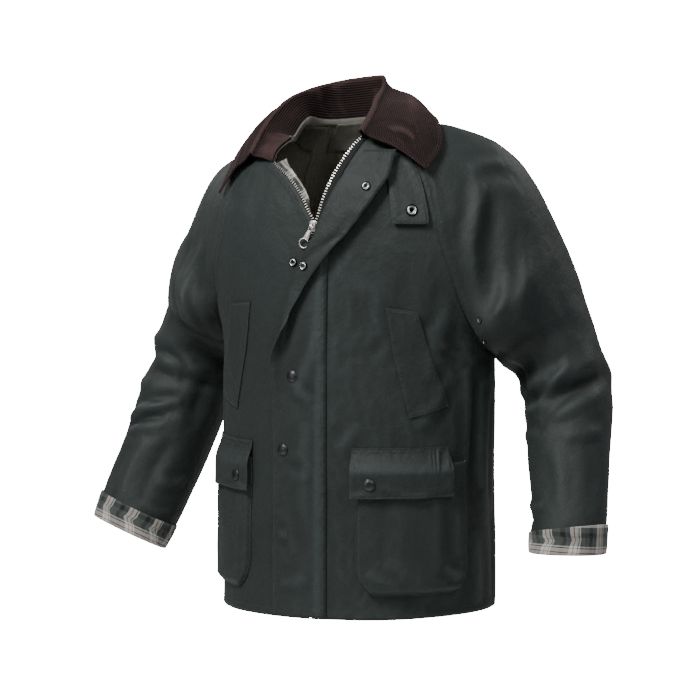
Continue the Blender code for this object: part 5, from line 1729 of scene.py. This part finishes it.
# %% Lines, shapes and a helper that runs a tree
def polylines(name, lines, sizes=None):
    """A mesh of open lines; each line is (points, outward directions)."""
    mesh = bpy.data.meshes.new(name)
    starts = np.cumsum([0] + [len(points) for points, _ in lines])
    edges = [(start + k, start + k + 1) for start, (points, _) in zip(starts, lines)
             for k in range(len(points) - 1)]
    places = np.concatenate([points for points, _ in lines])
    mesh.from_pydata(places.tolist(), edges, [])
    ways = np.concatenate([out for _, out in lines]).astype(np.float32)
    mesh.attributes.new("out", "FLOAT_VECTOR", "POINT").data.foreach_set("vector", ways.ravel())
    if sizes is not None:
        mesh.attributes.new("size", "FLOAT", "POINT").data.foreach_set("value", np.array(sizes, np.float32))
    return keep(name, mesh)


def single_points(pairs):
    """Lines of one point each, from places with their outward directions."""
    return [(np.array([place]), np.array([way])) for place, way in pairs]


def grow(made, tree, values):
    """The object becomes what the tree makes of it, on the garment, and the object that was copied goes."""
    mod = made.modifiers.new("nodes", "NODES")
    mod.node_group = tree
    for item in tree.interface.items_tree:
        if item.item_type == "SOCKET" and item.in_out == "INPUT" and item.name in values:
            mod[item.identifier] = values[item.name]
    plain_mesh(made)
    made.data.shade_smooth()
    made.data.set_sharp_from_angle(angle=math.radians(35))
    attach(made, "garment")
    bpy.data.objects.remove(values["Copy"])
    print(f"{made.name}: {len(made.data.polygons)} faces")


def solid_from(name, verts, faces, bevel=0.0, segments=1):
    """A closed mesh from points and faces, with bevelled edges and its faces outwards."""
    mesh = bpy.data.meshes.new(name)
    mesh.from_pydata([tuple(v) for v in verts], [], faces)
    bm = bmesh.new()
    bm.from_mesh(mesh)
    bmesh.ops.recalc_face_normals(bm, faces=bm.faces)
    if bevel:
        bmesh.ops.bevel(bm, geom=bm.edges[:], offset=bevel, segments=segments, affect="EDGES", profile=0.5)
    bm.to_mesh(mesh)
    bm.free()
    return mesh


def prism(outline, low, high):
    """Points and faces of an outline in x and y, drawn out from low to high in z."""
    count = len(outline)
    verts = [(x, y, z) for z in (low, high) for x, y in outline]
    faces = [tuple(reversed(range(count))), tuple(range(count, 2 * count))]
    faces += [(k, (k + 1) % count, count + (k + 1) % count, count + k) for k in range(count)]
    return verts, faces


def both_sides(half):
    """An outline from its right half, with the left one mirrored."""
    return half + [(-x, y) for x, y in reversed(half)]


print("helpers ready")

# %% Zip teeth
PITCH = 0.0042
# half of a tooth: along the zip, across towards the other half of the zip
TOOTH = both_sides([(0.0006, 0.0), (0.0006, 0.0026), (0.0008, 0.0032), (0.0006, 0.0041)])
TOOTH_LOW, TOOTH_HIGH, TOOTH_BEVEL = -0.0002, 0.0015, 0.00014
TEETH_START, TEETH_BEHIND = -0.0006, 0.0004     # past the front's edge, behind its cloth
# +Y of a tooth points to the other half, because the right line runs down and the left one up
for side, right in SIDES:
    tooth = keep("tooth", solid_from("tooth", *prism(TOOTH, TOOTH_LOW, TOOTH_HIGH), TOOTH_BEVEL))
    line, out = from_zip(right, TEETH_START, -(CLOTH + TEETH_BEHIND))
    if right:
        line, out = line[::-1], out[::-1]
    offset = unit(line[1] - line[0]) * (PITCH / 2 if right else 0.0)
    teeth = polylines(f"zip_teeth_{side}", [(np.vstack((line[:1] + offset, line[1:])), out)])
    grow(teeth, lines_tree,
         {"Copy": tooth, "Spacing": PITCH, "Uneven": 0.01, "Finish": zip_metal})

# %% [markdown]
# ## Slider, pull and studs
#
# The slider is two shield plates joined by a bridge, with a bar for the pull. The pull is a bent link, a
# flat plate and an open ring. They could be cut from one block, but separate closed shapes keep each edge
# crisp. The studs and the eyelets are turned shapes, with one profile for the caps, one for the sockets and
# one for the eyelets.

# %% Slider
HINGE = np.array((0.0, -0.156181, -0.145652))
SWING = math.radians(27.0)      # how the pull hangs at rest


def turned(points, swing=0.0):
    """Points given as across, out and up, swung about the line out of the cloth, and put at the hinge."""
    points = np.asarray(points, dtype=float)
    x, out, up = points[..., 0], points[..., 1], points[..., 2]
    x, up = x * math.cos(swing) + up * math.sin(swing), -x * math.sin(swing) + up * math.cos(swing)
    return np.stack((x, -out, up), -1) + HINGE


def metal_piece(name, node, body_name, meshes):
    """Closed meshes as one object of the zip's metal, for a node of the solids."""
    bm = bmesh.new()
    for mesh in meshes:
        bm.from_mesh(mesh)
        bpy.data.meshes.remove(mesh)
    whole = bpy.data.meshes.new(name)
    bm.to_mesh(whole)
    bm.free()
    made = keep(name, whole)
    whole.shade_smooth()
    whole.set_sharp_from_angle(angle=math.radians(40))
    whole.materials.append(zip_metal)
    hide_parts(node)
    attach(made, body_name)
    print(f"{name}: {len(whole.polygons)} faces")


# halves of outlines: across, up
SHIELD = both_sides([(0.003, -0.0078), (0.004, -0.006), (0.0044, 0.001), (0.0049, 0.005),
                     (0.004, 0.0072), (0.0016, 0.008)])
NECK_PLATE = both_sides([(0.0009, 0.003), (0.0009, 0.0078)])
RAIL = [(0.0038, -0.0058), (0.0044, -0.0058), (0.0049, 0.0046), (0.0043, 0.0046)]


def plate(name, outline, low, high, bevel, swing=0.0, segments=2):
    """A flat piece whose outline is across and up, between two distances out of the cloth."""
    verts, faces = prism(outline, low, high)
    placed = turned([(x, out, up) for x, up, out in verts], swing)
    return solid_from(name, placed, faces, bevel, segments)


def tube(name, path, radius, sides=10):
    """A round rod along points given as across, out and up, closed at both ends."""
    path = np.asarray(path, dtype=float)
    along = unit(np.gradient(path, axis=0))
    side = unit(np.cross(along, np.array([0.13, 0.31, 0.94])))
    other = np.cross(along, side)
    angle = np.linspace(0, 2 * math.pi, sides, endpoint=False)
    rings = (path[:, None] + radius * (np.cos(angle)[None, :, None] * side[:, None]
                                       + np.sin(angle)[None, :, None] * other[:, None]))
    faces = [tuple(range(sides)), tuple(reversed(range((len(path) - 1) * sides, len(path) * sides)))]
    for k in range(len(path) - 1):
        for n in range(sides):
            m = (n + 1) % sides
            faces.append((k * sides + n, (k + 1) * sides + n, (k + 1) * sides + m, k * sides + m))
    return solid_from(name, rings.reshape(-1, 3), faces)


bridge = [(0.0, -0.0045 + 0.0042 * math.sin(a), 0.0052 * math.cos(a)) for a in np.linspace(0.15, 2.99, 11)]
bar = [turned((x, 0.0, 0.0), SWING) for x in np.linspace(-0.0032, 0.0032, 5)]
metal_piece("slider", "zip_slider", "garment", [
    plate("shield_top", SHIELD, -0.0043, -0.0031, 0.0004),
    plate("shield_back", SHIELD, -0.0082, -0.0072, 0.0003),
    plate("slider_neck", NECK_PLATE, -0.0075, -0.004, 0.0),
    plate("rail", RAIL, -0.0052, -0.004, 0.0002, segments=1),
    plate("rail", [(-x, up) for x, up in RAIL], -0.0052, -0.004, 0.0002, segments=1),
    tube("bridge", [turned(point) for point in bridge], 0.0011),
    tube("bar", bar, 0.0009),
])

# %% Pull
RING_MIDDLE, RING_RADIUS, WIRE = -0.0278, 0.0069, 0.001
ring = [(RING_RADIUS * math.sin(a), 0.0, RING_MIDDLE + RING_RADIUS * math.cos(a))
        for a in np.linspace(1.9, 2 * math.pi + 0.75, 44)]
LEAF = both_sides([(0.0022, -0.007), (0.0034, -0.011), (0.0044, -0.02), (0.0032, -0.0216)])
ARM = ((0.0026, 0.0009), (0.0027, -0.002), (0.0024, -0.005), (0.0016, -0.0084))


def arm(side):
    path = np.array([(side * x, 0.0, up) for x, up in ARM])
    return tube("arm", turned(through(path, 12), SWING), 0.0008)


metal_piece("pull", "zip_pull", "zip_pull", [
    arm(-1), arm(1),
    tube("cross_bar", [turned((x, 0.0, -0.0084), SWING) for x in np.linspace(-0.0016, 0.0016, 4)], 0.0008),
    plate("leaf", LEAF, -0.0007, 0.0007, 0.00035, SWING),
    tube("ring", turned(ring, SWING), WIRE, 12),
])

# %% Studs by Geometry Nodes
def on_points():
    """A copy on every point, turned to "out" and scaled by "size"."""
    tree, given = new_tree("copies_on_points")
    size = add(tree, "GeometryNodeInputNamedAttribute", {"Name": "size"}, data_type="FLOAT").outputs[0]
    return place_copies(tree, given, given["Geometry"], upright_on(tree), size)


def lathe(name, profile, sides=36):
    """A turned shape with a radius of 1, from (radius, height) pairs; its axis is Z."""
    mesh = bpy.data.meshes.new(name)
    bm = bmesh.new()
    rings = []
    for radius, height in profile:
        if radius == 0:
            rings.append([bm.verts.new((0, 0, height))] * sides)
        else:
            rings.append([bm.verts.new((radius * math.cos(a), radius * math.sin(a), height))
                          for a in np.linspace(0, 2 * math.pi, sides, endpoint=False)])
    for low, high in zip(rings[:-1], rings[1:]):
        for k in range(sides):
            n = (k + 1) % sides
            bm.faces.new(dict.fromkeys((low[k], low[n], high[n], high[k])))
    bmesh.ops.recalc_face_normals(bm, faces=bm.faces)
    bm.to_mesh(mesh)
    bm.free()
    store(mesh, "radius", [math.hypot(*vert.co[:2]) for vert in mesh.vertices])
    return keep(name, mesh)


# radius and height of turned shapes, as parts of their radius
CAP = ((0.0, -0.05), (0.97, -0.05), (1.0, 0.0), (1.0, 0.06), (0.96, 0.12), (0.9, 0.145), (0.84, 0.15),
       (0.8, 0.17), (0.7, 0.235), (0.5, 0.3), (0.25, 0.335), (0.0, 0.345))
SOCKET = ((0.0, -0.05), (0.97, -0.05), (1.0, 0.0), (1.0, 0.08), (0.95, 0.15), (0.86, 0.19), (0.76, 0.18),
          (0.7, 0.13), (0.66, 0.14), (0.6, 0.22), (0.52, 0.26), (0.44, 0.24), (0.41, 0.16), (0.41, 0.04),
          (0.0, 0.03))
STUD_RADIUS, SOCKET_RADIUS, EYELET_RADIUS = 0.0088, 0.0068, 0.0047
STUD_GAP = 0.0007


def flap_place(height, length, under):
    """Place and outward direction on the storm flap; under is the side that its roll has turned up."""
    step = 0.002
    place = flap_point(height, length, -TRIM if under else 0.0)
    across = flap_point(height, length - step) - flap_point(height, length + step)
    up = flap_point(height + step, length) - flap_point(height - step, length)
    way = unit(np.cross(across, up)) * (-1 if under else 1)
    return place + way * STUD_GAP, way


def body_place(angle, height, lift):
    """Place and outward direction on a piece that lies lift above the body."""
    return body(angle, height, lift + STUD_GAP), body_normal(angle, height)


points_tree = on_points()
cap, socket = lathe("cap_shape", CAP), lathe("socket_shape", SOCKET)
on_pocket = POCKET_FLAP["bottom"] + 0.021
pocket_lift = LAY_GAP + TRIM + 0.0022
CAPS = {
    "stud_flap_upper": flap_place(-0.366, 0.053, False),
    "stud_flap_lower": flap_place(-0.475, 0.07, False),
    "stud_pocket_left": body_place(-65.0, on_pocket, pocket_lift + FLAP_RISE),
    "stud_pocket_right": body_place(233.0, on_pocket, pocket_lift + FLAP_RISE * RIGHT_POCKET_FULL),
}
SOCKETS = {
    "socket_flap_top": flap_place(-0.092, 0.064, True),
    "socket_flap_edge": flap_place(-0.203, 0.056, True),
    "stud_front": body_place(float(angle_at(-0.031, -0.199)), -0.199, 0.0),
    "socket_tab": body_place(-53.0, -0.122, LAY_GAP + 2 * TRIM + 0.003),
}
for name, places, shape, finish_used, sizes in (
        ("stud_caps", CAPS, cap, stud_metal, [STUD_RADIUS] * 4),
        ("stud_sockets", SOCKETS, socket, socket_metal, [SOCKET_RADIUS] * 3 + [STUD_RADIUS])):
    studs = polylines(name, single_points(places.values()), sizes)
    grow(studs, points_tree, {"Copy": shape, "Finish": finish_used})
    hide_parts(*places)

# %% Eyelets under the arms
EYELET = ((0.42, -0.3), (0.42, 0.06), (0.48, 0.16), (0.62, 0.22), (0.8, 0.2), (0.95, 0.1), (1.0, 0.0),
          (1.0, -0.1), (0.42, -0.3))
# turn and station on each sleeve; the right pair sits further back
EYELETS = {"left": ((0.067, 1.2), (0.063, 1.11)), "right": ((0.985, 1.14), (0.985, 1.05))}
eyelet = lathe("eyelet_shape", EYELET, 28)
spots = []
for side, right in SIDES:
    out = normals(sleeves[side])
    for turn, station in EYELETS[side]:
        row, column = np.abs(sleeve_stations - station).argmin(), np.abs(sleeve_turns - turn).argmin()
        column = -1 - column if right else column
        spots.append((sleeves[side][row, column] + out[row, column] * 0.0005, out[row, column]))
eyelets = polylines("eyelets", single_points(spots), [EYELET_RADIUS] * len(spots))
grow(eyelets, points_tree, {"Copy": eyelet, "Finish": socket_metal})

# %% [markdown]
# ## Stitching
#
# The same tree as for the teeth runs along every seam. One stitch is a thin spindle, sunk a little at both
# ends, and each turns a few degrees of its own, as a sewn row does. Painted stitches would need a UV map
# that runs along each seam, and would stay flat in the grazing light where stitching shows most.

# %% Rows of stitches
STITCH_LIFT, STITCH_SPACING = 0.00012, 0.0032
BESIDE_SEAM = (0.0016, 0.0078)
below = int(np.searchsorted(panel_rows, 8.0))       # how many rows of the back lie below the underarm
SEWN = [(grid, ("bottom",), (0.011,)) for grid in (left_front, right_front, back_panel)]
SEWN += [(sleeve[77:-2], ("start", "end"), BESIDE_SEAM) for sleeve in sleeves.values()]
SEWN += [(back_panel[:below], ("start", "end"), BESIDE_SEAM)]
for right in (False, True):
    grid, edge = beside_zip(right)
    SEWN.append((grid, (edge,), (0.002, 0.0086)))
SEWN += [
    # grid, its sewn edges, how far inside them the rows run
    (flap, ("end",), (0.0022, 0.0082)),
    (flap, ("start", "bottom"), (0.006,)),
    (tab, ("start", "end", "bottom"), (0.0026,)),
    (collar, ("top",), (0.006,)),
    (collar[22:], ("start", "end"), (0.006,)),
]
SEWN += [(grid, ("start", "end", "bottom"), (0.0024,)) for grid in pocket_flaps.values()]
SEWN += [(grid, ("top",), (0.002, 0.008)) for grid in pocket_flaps.values()]
SEWN += [(grid, ("start", "end", "bottom"), (0.0016,)) for grid in pockets.values()]
SEWN += [(grid, ("start", "end", "top", "bottom"), (0.002,)) for grid in welts.values()]
rows = [inset(grid, edge, distance, STITCH_LIFT)
        for grid, edges, distances in SEWN for edge in edges for distance in distances]
for grid in cuffs.values():
    out = normals(grid)[25]
    rows.append((grid[25] + out * 0.0001, out))
print("rows of stitches:", len(rows))

# %% Stitches
SPINDLE = ((-0.0013, 0.00004), (-0.0008, 0.00026), (0.0, 0.00032), (0.0008, 0.00026), (0.0013, 0.00004))
spindle = []
for x, thick in SPINDLE:
    spindle += [(x, thick * math.cos(a), thick * math.sin(a) - 0.0002 * (abs(x) > 0.001))
                for a in np.linspace(0, 2 * math.pi, 5, endpoint=False)]
bands = [(5 * k + n, 5 * k + (n + 1) % 5, 5 * k + 5 + (n + 1) % 5, 5 * k + 5 + n)
         for k in range(4) for n in range(5)]
stitch = keep("stitch", solid_from("stitch", spindle, bands + [(4, 3, 2, 1, 0), (20, 21, 22, 23, 24)]))
stitches = polylines("stitches", rows)
grow(stitches, lines_tree,
     {"Copy": stitch, "Spacing": STITCH_SPACING, "Uneven": 0.09, "Finish": thread})

# %% [markdown]
# ## Floor and finish
#
# A round pale floor lies far below the hanging jacket. It sends a little light up under the hem.

# %% Floor
FLOOR_HEIGHT, FLOOR_RADIUS = -1.45, 2.1


def floor_finish():
    made, tree, shader, space = finish("floor_finish", 0.9)
    cloud = noise(tree, space, 1.5, 3.0)
    drive(shader, "Base Color", blend(tree, cloud, (0.8, 0.8, 0.8, 1), (0.88, 0.88, 0.88, 1)))
    return made


ground = bpy.data.meshes.new("floor")
rim = [(FLOOR_RADIUS * math.cos(a), FLOOR_RADIUS * math.sin(a), FLOOR_HEIGHT)
       for a in np.linspace(0, 2 * math.pi, 72, endpoint=False)]
ground.from_pydata(rim, [], [tuple(range(len(rim)))])
ground.materials.append(floor_finish())
keep("floor", ground)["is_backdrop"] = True
print("floor at", FLOOR_HEIGHT)

# %% Sizes
low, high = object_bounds()
faces = sum(len(piece.data.polygons) for piece in bpy.data.objects if piece.type == "MESH")
print("visual box:", [round(v, 3) for v in low], [round(v, 3) for v in high], "faces:", faces)
